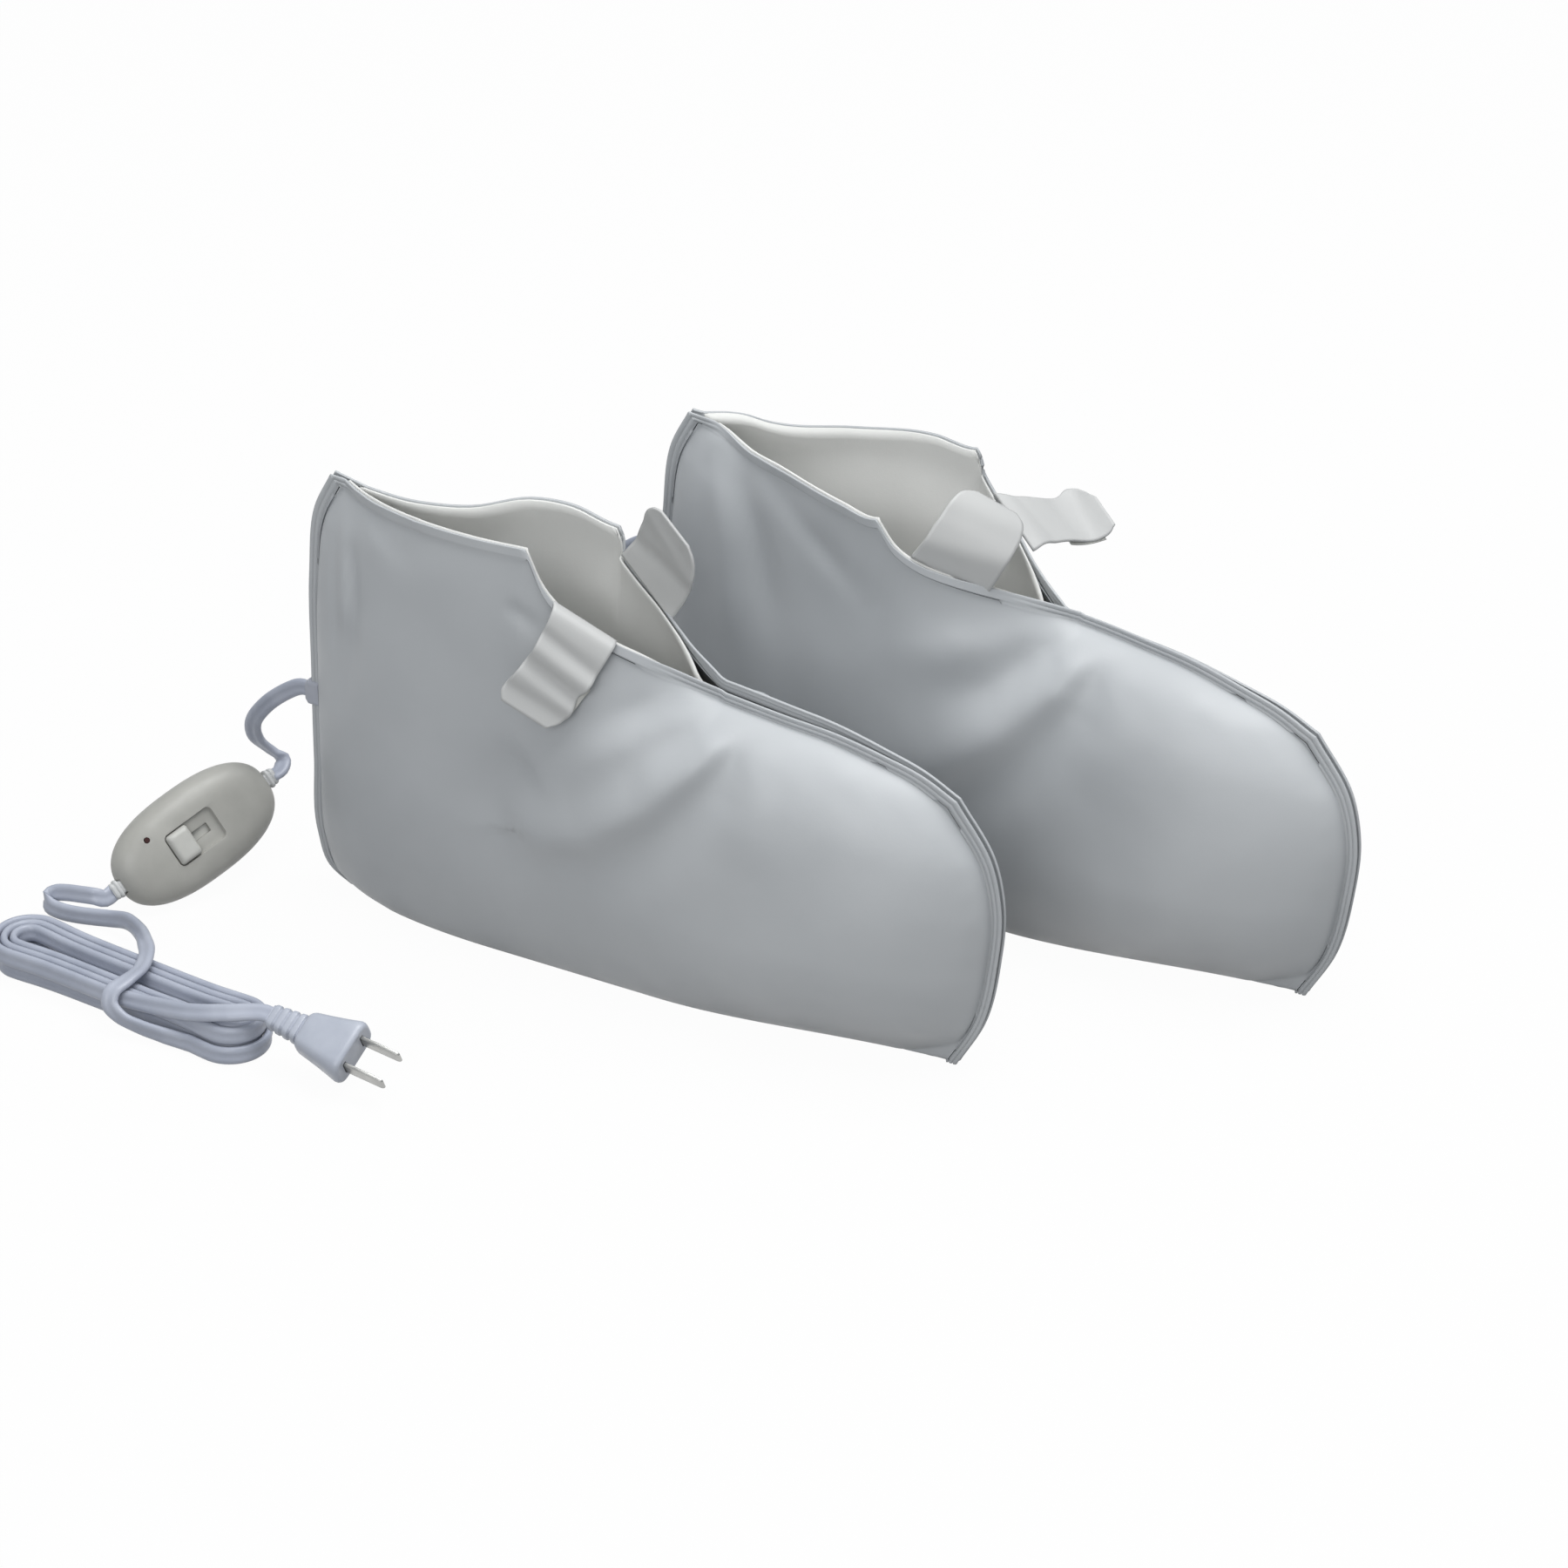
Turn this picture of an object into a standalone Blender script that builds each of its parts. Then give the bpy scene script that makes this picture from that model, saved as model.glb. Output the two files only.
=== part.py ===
# A pair of heated foot booties with their hand controller, leads, hanked mains cord and plug.
# Metres. +X runs from heel to toe, +Y from the near bootie to the far one, +Z up, floor at Z = 0.
# The right side of a bootie is the one at -Y and the left side the one at +Y.

import math

import bpy
import bmesh
import numpy as np
from mathutils import Matrix, Vector

# Bootie outline in its seam plane, as shares of length and height, rim included
BOOTIE_LENGTH = 0.316
HEEL_HEIGHT = 0.190
RIM_WIDTH = 0.004
HEEL_SHARES = ((0.052, 0.000), (0.014, 0.040), (0.000, 0.115), (0.000, 0.300), (0.003, 0.520),
               (0.008, 0.760), (0.022, 0.920), (0.047, 1.000))
HEM_SHARES = ((0.047, 1.000), (0.110, 0.990), (0.200, 0.988), (0.300, 0.998), (0.380, 1.010))
SLIT_SHARES = ((0.380, 1.010), (0.404, 0.937), (0.437, 0.885), (0.497, 0.826), (0.555, 0.778),
               (0.618, 0.735))
INSTEP_SHARES = ((0.618, 0.735), (0.700, 0.720), (0.775, 0.708), (0.835, 0.688), (0.890, 0.664),
                 (0.937, 0.626))
TOE_SHARES = ((0.941, 0.000), (0.978, 0.120), (0.996, 0.270), (1.000, 0.400), (0.986, 0.505),
              (0.937, 0.626))

# Fullness of a side: half widths, and where along the bootie and up the side they lie
SOLE_HALF_WIDTH = 0.016
SIDE_HALF_WIDTH = 0.037
BULGE_SHARES = ((0.00, 0.82), (0.18, 0.86), (0.38, 0.93), (0.58, 1.00), (0.78, 1.00), (1.00, 0.92))
HEEL_ROUND_SHARE = 0.26
TOE_ROUND_SHARE = 0.26
WIDEST_SHARE = 0.40
SOLE_EDGE_SHARE = 0.055
SOLE_LIFT_SHARE = 0.08
SIDE_POWER = 0.9
SLIT_POWER = 4
NEAR_HEM_OUT = 0.026
FAR_HEM_OUT = 0.037
FLAT_HEM_OUT = 0.012
HEM_OUT_SHARES = ((0.00, 0.00), (0.20, 0.38), (0.45, 0.68), (0.75, 0.91), (1.00, 1.00))
SLIT_OUT_SHARES = ((0.00, 1.00), (0.25, 0.98), (0.50, 0.76), (0.78, 0.34), (1.00, 0.00))
CLOSING_SHARE = 0.10

# Panel grid: columns over the hem, the slit and the instep, and rows up the side
HEM_COLUMNS = 7
SLIT_COLUMNS = 5
INSTEP_COLUMNS = 8
ROW_SHARES = (0.0, 0.055, 0.115, 0.22, 0.35, 0.49, 0.63, 0.77, 0.90, 1.0)

# Layers of a side, from the skin inwards
FIT_GAP = 0.0003
SKIN_THICKNESS = 0.0010
PAD_THICKNESS = 0.0020
WIRE_DIAMETER = 0.0016
WIRE_CLEARANCE = 0.0005
LINING_THICKNESS = 0.0008
LINING_TURN_IN_SHARE = 0.90
PAD_COLUMNS = (2, 18)
PAD_ROWS = (2, 8)
WIRE_COLUMNS = (3, 17)
WIRE_RUN_ROWS = (3, 4, 6, 7)

# Where the booties stand: bottom of each heel seam
NEAR_BOOTIE_AT = (-0.1752, -0.0528)
FAR_BOOTIE_STEP = (0.0990, 0.1130)

# Strap tabs, each an ear of the skin that folds on a line just clear of the slit
TAB_WIDTH = 0.034
TAB_LENGTH = 0.044
TAB_THICKNESS = 0.0012
TAB_ROOT_SHARES = (0.24, 0.62)
TAB_ROUND_SHARE = 0.70
TAB_TIP_WIDTH_SHARE = 0.55
TAB_NOSE_SHARE = 0.30
HOOK_THICKNESS = 0.0012
HOOK_WIDTH_SHARE = 0.66
HOOK_STEPS = (4, 7)
# Each rest shape: (up from the slit, out from the side, forward along the slit), as shares of the length
NEAR_RIGHT_TAB_SHARES = ((0.000, 0.000, 0.00), (0.000, 0.110, 0.00), (-0.100, 0.190, 0.00),
                         (-0.240, 0.240, 0.00), (-0.390, 0.310, 0.01), (-0.540, 0.320, 0.02),
                         (-0.690, 0.390, 0.03), (-0.830, 0.400, 0.04), (-0.950, 0.450, 0.05))
NEAR_LEFT_TAB_SHARES = ((0.000, 0.000, 0.00), (0.120, 0.000, 0.00), (0.240, -0.020, 0.00),
                        (0.360, -0.050, 0.00), (0.480, -0.095, 0.01), (0.600, -0.140, 0.02),
                        (0.710, -0.190, 0.03), (0.820, -0.250, 0.04), (0.920, -0.310, 0.05))
FAR_RIGHT_TAB_SHARES = ((0.000, 0.000, 0.00), (0.120, 0.010, 0.00), (0.240, 0.020, 0.00),
                        (0.360, 0.020, 0.00), (0.480, 0.010, 0.01), (0.600, -0.010, 0.02),
                        (0.720, -0.050, 0.03), (0.830, -0.100, 0.04), (0.940, -0.160, 0.05))
FAR_LEFT_TAB_SHARES = ((0.000, 0.000, 0.00), (0.030, 0.110, 0.03), (0.060, 0.230, 0.06),
                       (0.070, 0.350, 0.10), (0.060, 0.470, 0.15), (0.050, 0.590, 0.20),
                       (0.070, 0.710, 0.25), (0.110, 0.820, 0.30), (0.180, 0.920, 0.35))

# Thermal cut-out between pad and lining, and the glands that the leads come out of
CUTOUT_LENGTH = 0.0125
CUTOUT_WIDTH = 0.0065
CUTOUT_THICKNESS = 0.0014
CUTOUT_CELL = (7, 4)
GLAND_LENGTH = 0.0068
GLAND_WIDTH = 0.0110
GLAND_THICKNESS = 0.0066
GLAND_CORNER = 0.0015
LEAD_GLAND_SHARE = 0.475
LINK_GLAND_SHARE = 0.680
LINK_GLAND_CELL = (2, 5)

# Hand controller, lying on its long edge; its place is measured from the near heel
CONTROL_AT = (-0.0480, -0.0280)
CONTROL_TURN = math.radians(69.5)
CONTROL_PITCH = math.radians(17.0)
CONTROL_ROLL = math.radians(58.0)
CONTROL_LENGTH = 0.078
CONTROL_WIDTH = 0.041
CONTROL_HEIGHT = 0.0175
CONTROL_SPLIT = 0.0078
CONTROL_WALL = 0.0018
CONTROL_CURVE = 2.5
CONTROL_SIDES = 32
CROWN_SHARES = ((1.000, 0.00), (0.985, 0.22), (0.940, 0.48), (0.840, 0.74), (0.680, 0.92), (0.470, 1.00))
KEEL_SHARES = ((1.000, 0.00), (0.990, 0.35), (0.950, 0.75), (0.860, 1.00))
CROWN_CAVITY_SHARES = ((1.000, 0.00), (0.982, 0.45), (0.930, 0.78), (0.800, 1.00))
KEEL_CAVITY_SHARES = ((1.000, 0.00), (0.970, 0.70), (0.900, 1.00))
RECESS_LENGTH = 0.0240
RECESS_WIDTH = 0.0150
RECESS_DEPTH = 0.0020
RECESS_CORNER = 0.0020
RECESS_SETBACK = 0.0030
KNOB_LENGTH = 0.0105
KNOB_CLEARANCE = 0.0006
KNOB_STAND = 0.0022
KNOB_TRAVEL = 0.0110
KNOB_STEM_LENGTH = 0.0050
KNOB_STEM_WIDTH = 0.0030
LENS_DIAMETER = 0.0022
LENS_FROM_SCREW = (0.0085, 0.0105)
LENS_LENGTH = 0.0032
BOARD_WIDTH = 0.0220
BOARD_THICKNESS = 0.0014
BOARD_END_GAP = 0.0013
BOARD_LIFT = 0.0062
BOARD_REST_WIDTH = 0.0020
BOARD_REST_INSET = 0.0060
SWITCH_SIZE = (0.0300, 0.0130, 0.0040)
SCREW_DIAMETER = 0.0030
SCREW_HEAD_DIAMETER = 0.0052
SCREW_HEAD_HEIGHT = 0.0016
SCREW_HEAD_DROP = 0.0004
SCREW_GRIP = 0.0040
SCREW_END_SETBACK = 0.0095
SCREW_POST_DIAMETER = 0.0084
SCREW_BOSS_DIAMETER = 0.0060
RELIEF_LENGTH = 0.0040
RELIEF_WIDTH = 0.0085
RELIEF_THICKNESS = 0.0060
RELIEF_NECK_WIDTH = 0.0060
RELIEF_NECK_THICKNESS = 0.0044
RELIEF_FLANGE = 0.0012
RELIEF_FLANGE_SETBACK = 0.0018
RELIEF_TAPER_SHARE = 0.80
RELIEF_CORNER_SHARE = 0.33
RELIEF_RIBS = 2
RIB_SHARES = ((0.0, 0.84), (0.2, 1.00), (0.8, 1.00), (1.0, 0.84))

# Cords; their routes are points chosen by hand, measured from the near heel
CORD_DIAMETER = 0.0036
CORD_STEP = 0.0072
CORD_FLOOR_GAP = 0.0001
CORD_SAMPLES = 24
CORD_RESOLUTION = 2
LEAD_ROUTE = ((-0.0130, 0.0010, 0.0825), (-0.0230, 0.0030, 0.0715), (-0.0325, 0.0060, 0.0590),
              (-0.0385, 0.0105, 0.0475), (-0.0375, 0.0155, 0.0410), (-0.0325, 0.0180, 0.0380))
LINK_ROUTE = ((0.0370, 0.0560, 0.1000), (0.0390, 0.0680, 0.0850), (0.0460, 0.0840, 0.0740),
              (0.0560, 0.0980, 0.0780), (0.0660, 0.1080, 0.0960), (0.0760, 0.1125, 0.1160))
MAINS_ROUTE = ((-0.0610, -0.0765, 0.0085), (-0.0680, -0.0775, 0.0068), (-0.0755, -0.0780, 0.0052),
               (-0.0815, -0.0805, 0.0042), (-0.0830, -0.0850, 0.0032), (-0.0780, -0.0880, 0.0023),
               (-0.0700, -0.0865, 0.0021), (-0.0635, -0.0815, 0.0021), (-0.0585, -0.0775, 0.0024),
               (-0.0510, -0.0765, 0.0040), (-0.0420, -0.0795, 0.0068), (-0.0280, -0.0910, 0.0115),
               (-0.0182, -0.1013, 0.0155), (-0.0106, -0.1102, 0.0185), (-0.0045, -0.1217, 0.0207),
               (-0.0045, -0.1320, 0.0205), (-0.0080, -0.1382, 0.0168), (-0.0130, -0.1400, 0.0115),
               (-0.0180, -0.1400, 0.0065), (-0.0215, -0.1378, 0.0028), (-0.0200, -0.1330, 0.0021))
TAIL_ROUTE = ((0.0110, -0.1339, 0.0150), (0.0289, -0.1366, 0.0170), (0.0451, -0.1347, 0.0202))

# Hank of mains cord; the shares are of a loop, for each straight run and for each climb to the next layer
HANK_AT = (-0.0110, -0.1220)
HANK_TURN = math.radians(-5.0)
HANK_LOOPS = 6
HANK_LAYERS = 4
HANK_LOOP_GAP = 0.0006
HANK_HALF_RUN = 0.053
HANK_FOLD_RADIUS = 0.0050
HANK_WAIST = 0.0028
HANK_RUN_SHARE = 0.25
HANK_CLIMB_SHARE = 0.50
HANK_LOOP_POINTS = 24
HANK_RESOLUTION = 1
HANK_SAME_DIAMETERS = 3

# Plug: two flat blades in a moulded body with a ribbed tail; its place is that of its front face
PLUG_AT = (0.1010, -0.1292, 0.0155)
PLUG_PITCH = math.radians(-8.0)
PLUG_ROLL = math.radians(50.0)
PLUG_LENGTH = 0.0240
PLUG_WIDTH = 0.0250
PLUG_TAIL_WIDTH = 0.0170
PLUG_THICKNESS = 0.0150
PLUG_TAIL_THICKNESS = 0.0110
PLUG_CORNER = 0.0030
PLUG_RELIEF_LENGTH = 0.0150
PLUG_RELIEF_WIDTH = 0.0120
PLUG_RELIEF_THICKNESS = 0.0080
PLUG_RELIEF_RIBS = 4
BLADE_LENGTH = 0.0175
BLADE_WIDTH = 0.0064
BLADE_THICKNESS = 0.0015
BLADE_SPACING = 0.0127
BLADE_ROOT = 0.0100
BLADE_CHAMFER = 0.0015

# Meshes
CORNER_POINTS = 4
ROUND_SIDES = 16
SHARP_ANGLE = math.radians(35.0)
FLAT_ANGLE = math.radians(0.05)
CUT_OVERRUN = 0.0020

COLUMNS = HEM_COLUMNS + SLIT_COLUMNS + INSTEP_COLUMNS
CORNER_SHARE = HEM_COLUMNS / COLUMNS
SLIT_END_SHARE = (HEM_COLUMNS + SLIT_COLUMNS) / COLUMNS


def material(name, colour, roughness, metallic=0.0):
    """Plain Principled material."""
    made = bpy.data.materials.new(name)
    made.use_nodes = True
    shader = made.node_tree.nodes["Principled BSDF"]
    shader.inputs["Base Color"].default_value = (*colour, 1.0)
    shader.inputs["Roughness"].default_value = roughness
    shader.inputs["Metallic"].default_value = metallic
    return made


def place(name, data, made_of, at=(0.0, 0.0, 0.0), parent=None):
    """Object for a mesh or curve, with its material and its origin at a place."""
    thing = bpy.data.objects.new(name, data)
    data.materials.append(made_of)
    thing.location = at
    thing.parent = parent
    bpy.context.collection.objects.link(thing)
    return thing


def solid(name, points, faces):
    """Mesh from points and faces, with its bent faces split into flat ones and all turned outwards."""
    mesh = bpy.data.meshes.new(name)
    mesh.from_pydata([tuple(point) for point in points], [], faces)
    work = bmesh.new()
    work.from_mesh(mesh)
    bmesh.ops.connect_verts_nonplanar(work, angle_limit=FLAT_ANGLE, faces=work.faces)
    bmesh.ops.recalc_face_normals(work, faces=work.faces)
    work.to_mesh(mesh)
    work.free()
    mesh.shade_smooth()
    mesh.set_sharp_from_angle(angle=SHARP_ANGLE)
    return mesh


def loft(name, rings):
    """Closed mesh through rings of points, capped at both ends."""
    count = len(rings[0])
    points = [point for ring in rings for point in ring]
    faces = [tuple(range(count)), tuple(range(len(points) - count, len(points)))]
    for row in range(len(rings) - 1):
        for side in range(count):
            start = row * count + side
            turned = row * count + (side + 1) % count
            faces.append((start, turned, turned + count, start + count))
    return solid(name, points, faces)


def rectangle(width, height):
    """Corners of a rectangle centred on zero."""
    return [(width / 2 * across, height / 2 * up) for across, up in ((1, 1), (-1, 1), (-1, -1), (1, -1))]


def rounded(width, height, corner):
    """Points round a rectangle with rounded corners, centred on zero."""
    corner = min(corner, width / 2, height / 2)
    points = []
    for quarter, (across, up) in enumerate(((1, 1), (-1, 1), (-1, -1), (1, -1))):
        for step in range(CORNER_POINTS):
            angle = math.pi / 2 * (quarter + step / (CORNER_POINTS - 1))
            points.append((across * (width / 2 - corner) + corner * math.cos(angle),
                           up * (height / 2 - corner) + corner * math.sin(angle)))
    return points


def circle(diameter):
    """Points round a circle."""
    turns = [2 * math.pi * side / ROUND_SIDES for side in range(ROUND_SIDES)]
    return [(diameter / 2 * math.cos(turn), diameter / 2 * math.sin(turn)) for turn in turns]


def upright(name, outline, low, high, at=(0.0, 0.0)):
    """Prism of an outline between two heights."""
    rings = [[(at[0] + x, at[1] + y, z) for x, y in outline] for z in (low, high)]
    return loft(name, rings)


def change(body, name, mesh, operation, parent):
    """Cut a shape out of a body, or join it on, with a hidden tool."""
    tool = bpy.data.objects.new(name, mesh)
    tool.parent = parent
    tool.hide_render = True
    tool.display_type = "WIRE"
    bpy.context.collection.objects.link(tool)
    step = body.modifiers.new(name, "BOOLEAN")
    step.operation = operation
    step.solver = "EXACT"
    step.object = tool
    return tool


def hermite(t, ends, slopes):
    """Point at share t of a smooth curve between two ends with given slopes."""
    return ((2 * t**3 - 3 * t**2 + 1) * ends[0] + (t**3 - 2 * t**2 + t) * slopes[0]
            + (3 * t**2 - 2 * t**3) * ends[1] + (t**3 - t**2) * slopes[1])


def follow(shares, along):
    """Point (x, z) of a smooth curve through a table of outline shares, by share of its length."""
    points = np.array(shares) * (BOOTIE_LENGTH, HEEL_HEIGHT)
    chords = np.hypot(*np.diff(points, axis=0).T)
    stations = np.concatenate([[0.0], np.cumsum(chords)]) / chords.sum()
    slopes = np.gradient(points, stations, axis=0)
    span = int(np.clip(np.searchsorted(stations, along, side="right") - 1, 0, len(chords) - 1))
    width = stations[span + 1] - stations[span]
    return hermite((along - stations[span]) / width, points[span:span + 2], width * slopes[span:span + 2])


def read_off(shares, at):
    """Value read off a table of (place, value) shares."""
    places, values = np.array(shares).T
    return float(np.interp(at, places, values))


def ease(value, start, end):
    """Smooth step from 0 at start to 1 at end."""
    t = min(max((value - start) / (end - start), 0.0), 1.0)
    return t * t * (3 - 2 * t)


def top_edge(u):
    """Point (x, z) of the hem, the slit or the instep seam."""
    if u <= CORNER_SHARE:
        return follow(HEM_SHARES, u / CORNER_SHARE)
    if u <= SLIT_END_SHARE:
        return follow(SLIT_SHARES, (u - CORNER_SHARE) / (SLIT_END_SHARE - CORNER_SHARE))
    return follow(INSTEP_SHARES, (u - SLIT_END_SHARE) / (1 - SLIT_END_SHARE))


def closed(u):
    """0 where the top edge is open, 1 where it is a seam."""
    return ease(u, SLIT_END_SHARE - CLOSING_SHARE, SLIT_END_SHARE)


def seam_plane(u, v, inset):
    """Point (x, z) of a side at shares u along it and v up it, moved in from the outline."""
    inner = 1 - ease(min(u, 1 - u), 0.0, SOLE_LIFT_SHARE)
    above_sole = max((v - SOLE_EDGE_SHARE) / (1 - SOLE_EDGE_SHARE), 0.0)
    v = v * inner + above_sole * (1 - inner)
    heel, toe = follow(HEEL_SHARES, v), follow(TOE_SHARES, v)
    low = follow(HEEL_SHARES, 0.0) * (1 - u) + follow(TOE_SHARES, 0.0) * u
    corners = (follow(HEEL_SHARES, 0.0) * (1 - u) * (1 - v) + follow(TOE_SHARES, 0.0) * u * (1 - v)
               + follow(HEEL_SHARES, 1.0) * (1 - u) * v + follow(TOE_SHARES, 1.0) * u * v)
    x, z = low * (1 - v) + top_edge(u) * v + heel * (1 - u) + toe * u - corners
    rim_part = min(inset, RIM_WIDTH)
    lift = inset - rim_part
    beside_slit = v**SLIT_POWER * ease(u, HEEL_ROUND_SHARE, CORNER_SHARE) * (1 - closed(u))
    x += (rim_part + lift * (1 - beside_slit)) * (1 - 2 * u)
    return x, z + lift * (1 - v) - (rim_part + lift * closed(u)) * v


def hem_out(u, out):
    """How far the top edge stands out from the seam plane."""
    if u <= CORNER_SHARE:
        return out * read_off(HEM_OUT_SHARES, u / CORNER_SHARE)
    if u < SLIT_END_SHARE:
        return out * read_off(SLIT_OUT_SHARES, (u - CORNER_SHARE) / (SLIT_END_SHARE - CORNER_SHARE))
    return 0.0


def fullness(u, v, out):
    """How far the skin stands out from the seam plane."""
    heel = math.sqrt(1 - (1 - min(u / HEEL_ROUND_SHARE, 1.0)) ** 2)
    toe = math.sqrt(1 - (max(u + TOE_ROUND_SHARE - 1, 0.0) / TOE_ROUND_SHARE) ** 2)
    sole = SOLE_HALF_WIDTH * heel * toe
    if v <= SOLE_EDGE_SHARE:
        return sole * v / SOLE_EDGE_SHARE
    widest = SIDE_HALF_WIDTH * read_off(BULGE_SHARES, u) * heel * toe
    top = hem_out(u, out)
    height = (v - SOLE_EDGE_SHARE) / (1 - SOLE_EDGE_SHARE)
    if height < WIDEST_SHARE:
        return sole + (widest - sole) * math.sin(math.pi / 2 * height / WIDEST_SHARE) ** SIDE_POWER
    rise = (height - WIDEST_SHARE) / (1 - WIDEST_SHARE)
    return top + (widest - top) * (1 - rise**2) ** (0.5 + 0.5 * min(top / FLAT_HEM_OUT, 1.0))


def layer(side, out, inset, depth, stand, rows=(0, len(ROW_SHARES) - 1), columns=(0, COLUMNS)):
    """Grid of points of one face of a layer; stand is its least distance from the seam plane."""
    grid = []
    for row in range(rows[0], rows[1] + 1):
        line = []
        for column in range(columns[0], columns[1] + 1):
            u, v = column / COLUMNS, ROW_SHARES[row]
            x, z = seam_plane(u, v, inset)
            deep = depth(u, v) if callable(depth) else depth
            y = max(fullness(u, v, out) - deep, stand)
            if row == 0 and 0 < column < COLUMNS:
                y = FIT_GAP / 2
            line.append(Vector((x, side * y, z)))
        grid.append(line)
    return grid


def strip(faces, near, far):
    """Triangles between two rows of point numbers."""
    for a, b, c, d in zip(near, near[1:], far[1:], far):
        faces += [(a, b, c), (a, c, d)]


def border(rows, columns):
    """Places of a grid's edge, from its lower heel corner over the top to its lower toe corner."""
    up = [(row, 0) for row in range(rows)]
    over = [(rows - 1, column) for column in range(1, columns)]
    down = [(row, columns - 1) for row in range(rows - 2, -1, -1)]
    return up + over + down


def double_sheet(name, outer, inner, outer_rim=(), inner_rim=()):
    """Closed mesh of two grids of points, joined at their edges or by way of a rim."""
    rows, columns = len(outer), len(outer[0])
    points = [point for grid in (outer, inner) for line in grid for point in line]
    number = [[[(grid * rows + row) * columns + column for column in range(columns)]
               for row in range(rows)] for grid in (0, 1)]
    faces = []
    for grid in number:
        for near, far in zip(grid, grid[1:]):
            strip(faces, near, far)
    edges = [[grid[row][column] for row, column in border(rows, columns)] for grid in number]
    rims = []
    for edge, rim in zip(edges, (outer_rim, inner_rim)):
        rims.append(list(range(len(points), len(points) + len(rim))) or edge)
        points += rim
        if rim:
            strip(faces, edge, rims[-1])
    strip(faces, rims[0], rims[1])
    strip(faces, number[0][0], number[1][0])
    if outer_rim:
        for end in (0, -1):
            strip(faces, [edges[0][end], rims[0][end]], [edges[1][end], rims[1][end]])
    return solid(name, points, faces)


def rim(side, out, back):
    """Points along the cut edge of a side's rim, on its outer face or a thickness back from it."""
    points = []
    for row, column in border(len(ROW_SHARES), COLUMNS + 1):
        u, v = column / COLUMNS, ROW_SHARES[row]
        x, z = seam_plane(u, v, 0.0)
        y = FIT_GAP / 2 + SKIN_THICKNESS
        if row == len(ROW_SHARES) - 1:
            y = max(hem_out(u, out), y)
        points.append(Vector((x, side * (y - back), z)))
    return points


def skin(name, side, out, at, vinyl):
    """Vinyl side of a bootie: shell wall, flat welded rim and flat half sole."""
    outer = layer(side, out, RIM_WIDTH, 0.0, FIT_GAP / 2 + SKIN_THICKNESS)
    inner = layer(side, out, RIM_WIDTH + SKIN_THICKNESS, SKIN_THICKNESS, FIT_GAP / 2)
    mesh = double_sheet(name, outer, inner, rim(side, out, 0.0), rim(side, out, SKIN_THICKNESS))
    return place(name, mesh, vinyl, at)


def pad(name, side, out, at, felt):
    """Carrier of the heating wire, just inside the skin."""
    start = SKIN_THICKNESS + FIT_GAP
    faces = [layer(side, out, RIM_WIDTH + depth, depth, 0.0, PAD_ROWS, PAD_COLUMNS)
             for depth in (start, start + PAD_THICKNESS)]
    return place(name, double_sheet(name, *faces), felt, at)


def wire(name, side, out, at, coating):
    """Heating wire, laid to and fro along the pad's inner face."""
    depth = SKIN_THICKNESS + FIT_GAP + PAD_THICKNESS + WIRE_CLEARANCE + WIRE_DIAMETER / 2
    grid = layer(side, out, RIM_WIDTH + depth, depth, 0.0)
    points = []
    for run, row in enumerate(WIRE_RUN_ROWS):
        columns = range(WIRE_COLUMNS[0], WIRE_COLUMNS[1] + 1)
        columns = columns if run % 2 == 0 else reversed(columns)
        line = [grid[row][column] for column in columns]
        if run:
            turn = WIRE_COLUMNS[run % 2]
            points += [grid[between][turn] for between in range(WIRE_RUN_ROWS[run - 1] + 1, row)]
        points += line
    return tube(name, points, WIRE_DIAMETER, 0, coating, at)


def lining(name, side, out, at, fleece):
    """Fleece lining, which turns out to the skin at the hem."""
    deep = SKIN_THICKNESS + PAD_THICKNESS + FIT_GAP + 2 * WIRE_CLEARANCE + WIRE_DIAMETER
    shallow = SKIN_THICKNESS + FIT_GAP
    faces = []
    for extra in (0.0, LINING_THICKNESS):
        def depth(u, v, extra=extra):
            return deep + extra - (deep - shallow) * (1 - closed(u)) * ease(v, LINING_TURN_IN_SHARE, 1.0)
        stand = FIT_GAP / 2 + LINING_THICKNESS - extra
        faces.append(layer(side, out, RIM_WIDTH + deep + extra, depth, stand))
    return place(name, double_sheet(name, *faces), fleece, at)


def cell_frame(side, out, cell, depth):
    """Frame on one cell of a side: its highest point, and axes along, up and out."""
    column, row = cell
    grid = layer(side, out, RIM_WIDTH + depth, depth, 0.0, (row, row + 1), (column, column + 1))
    low, high = grid
    outward = (high[1] - low[0]).cross(high[0] - low[1]).normalized()
    outward = outward if outward.y * side > 0 else -outward
    along = (low[1] + high[1] - low[0] - high[0]).normalized()
    along = (along - along.dot(outward) * outward).normalized()
    upward = outward.cross(along)
    middles = [(low[0] + high[1]) / 2, (low[1] + high[0]) / 2]
    return middles, along, upward, outward


def frame_matrix(at, x, y, z):
    """Matrix that puts a piece's own axes on the given ones."""
    return Matrix.Translation(at) @ Matrix((x, y, z)).transposed().to_4x4()


def cutout(name, side, out, at, case):
    """Flat thermal cut-out on the pad's inner face, between two runs of wire."""
    depth = SKIN_THICKNESS + FIT_GAP + PAD_THICKNESS
    middles, along, upward, outward = cell_frame(side, out, CUTOUT_CELL, depth)
    base = min(middles, key=outward.dot)
    mesh = upright(name, rounded(CUTOUT_LENGTH, CUTOUT_WIDTH, CUTOUT_THICKNESS), 0.0, CUTOUT_THICKNESS)
    mesh.transform(frame_matrix(base - outward * FIT_GAP, along, -upward, -outward))
    return place(name, mesh, case, at)


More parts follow.
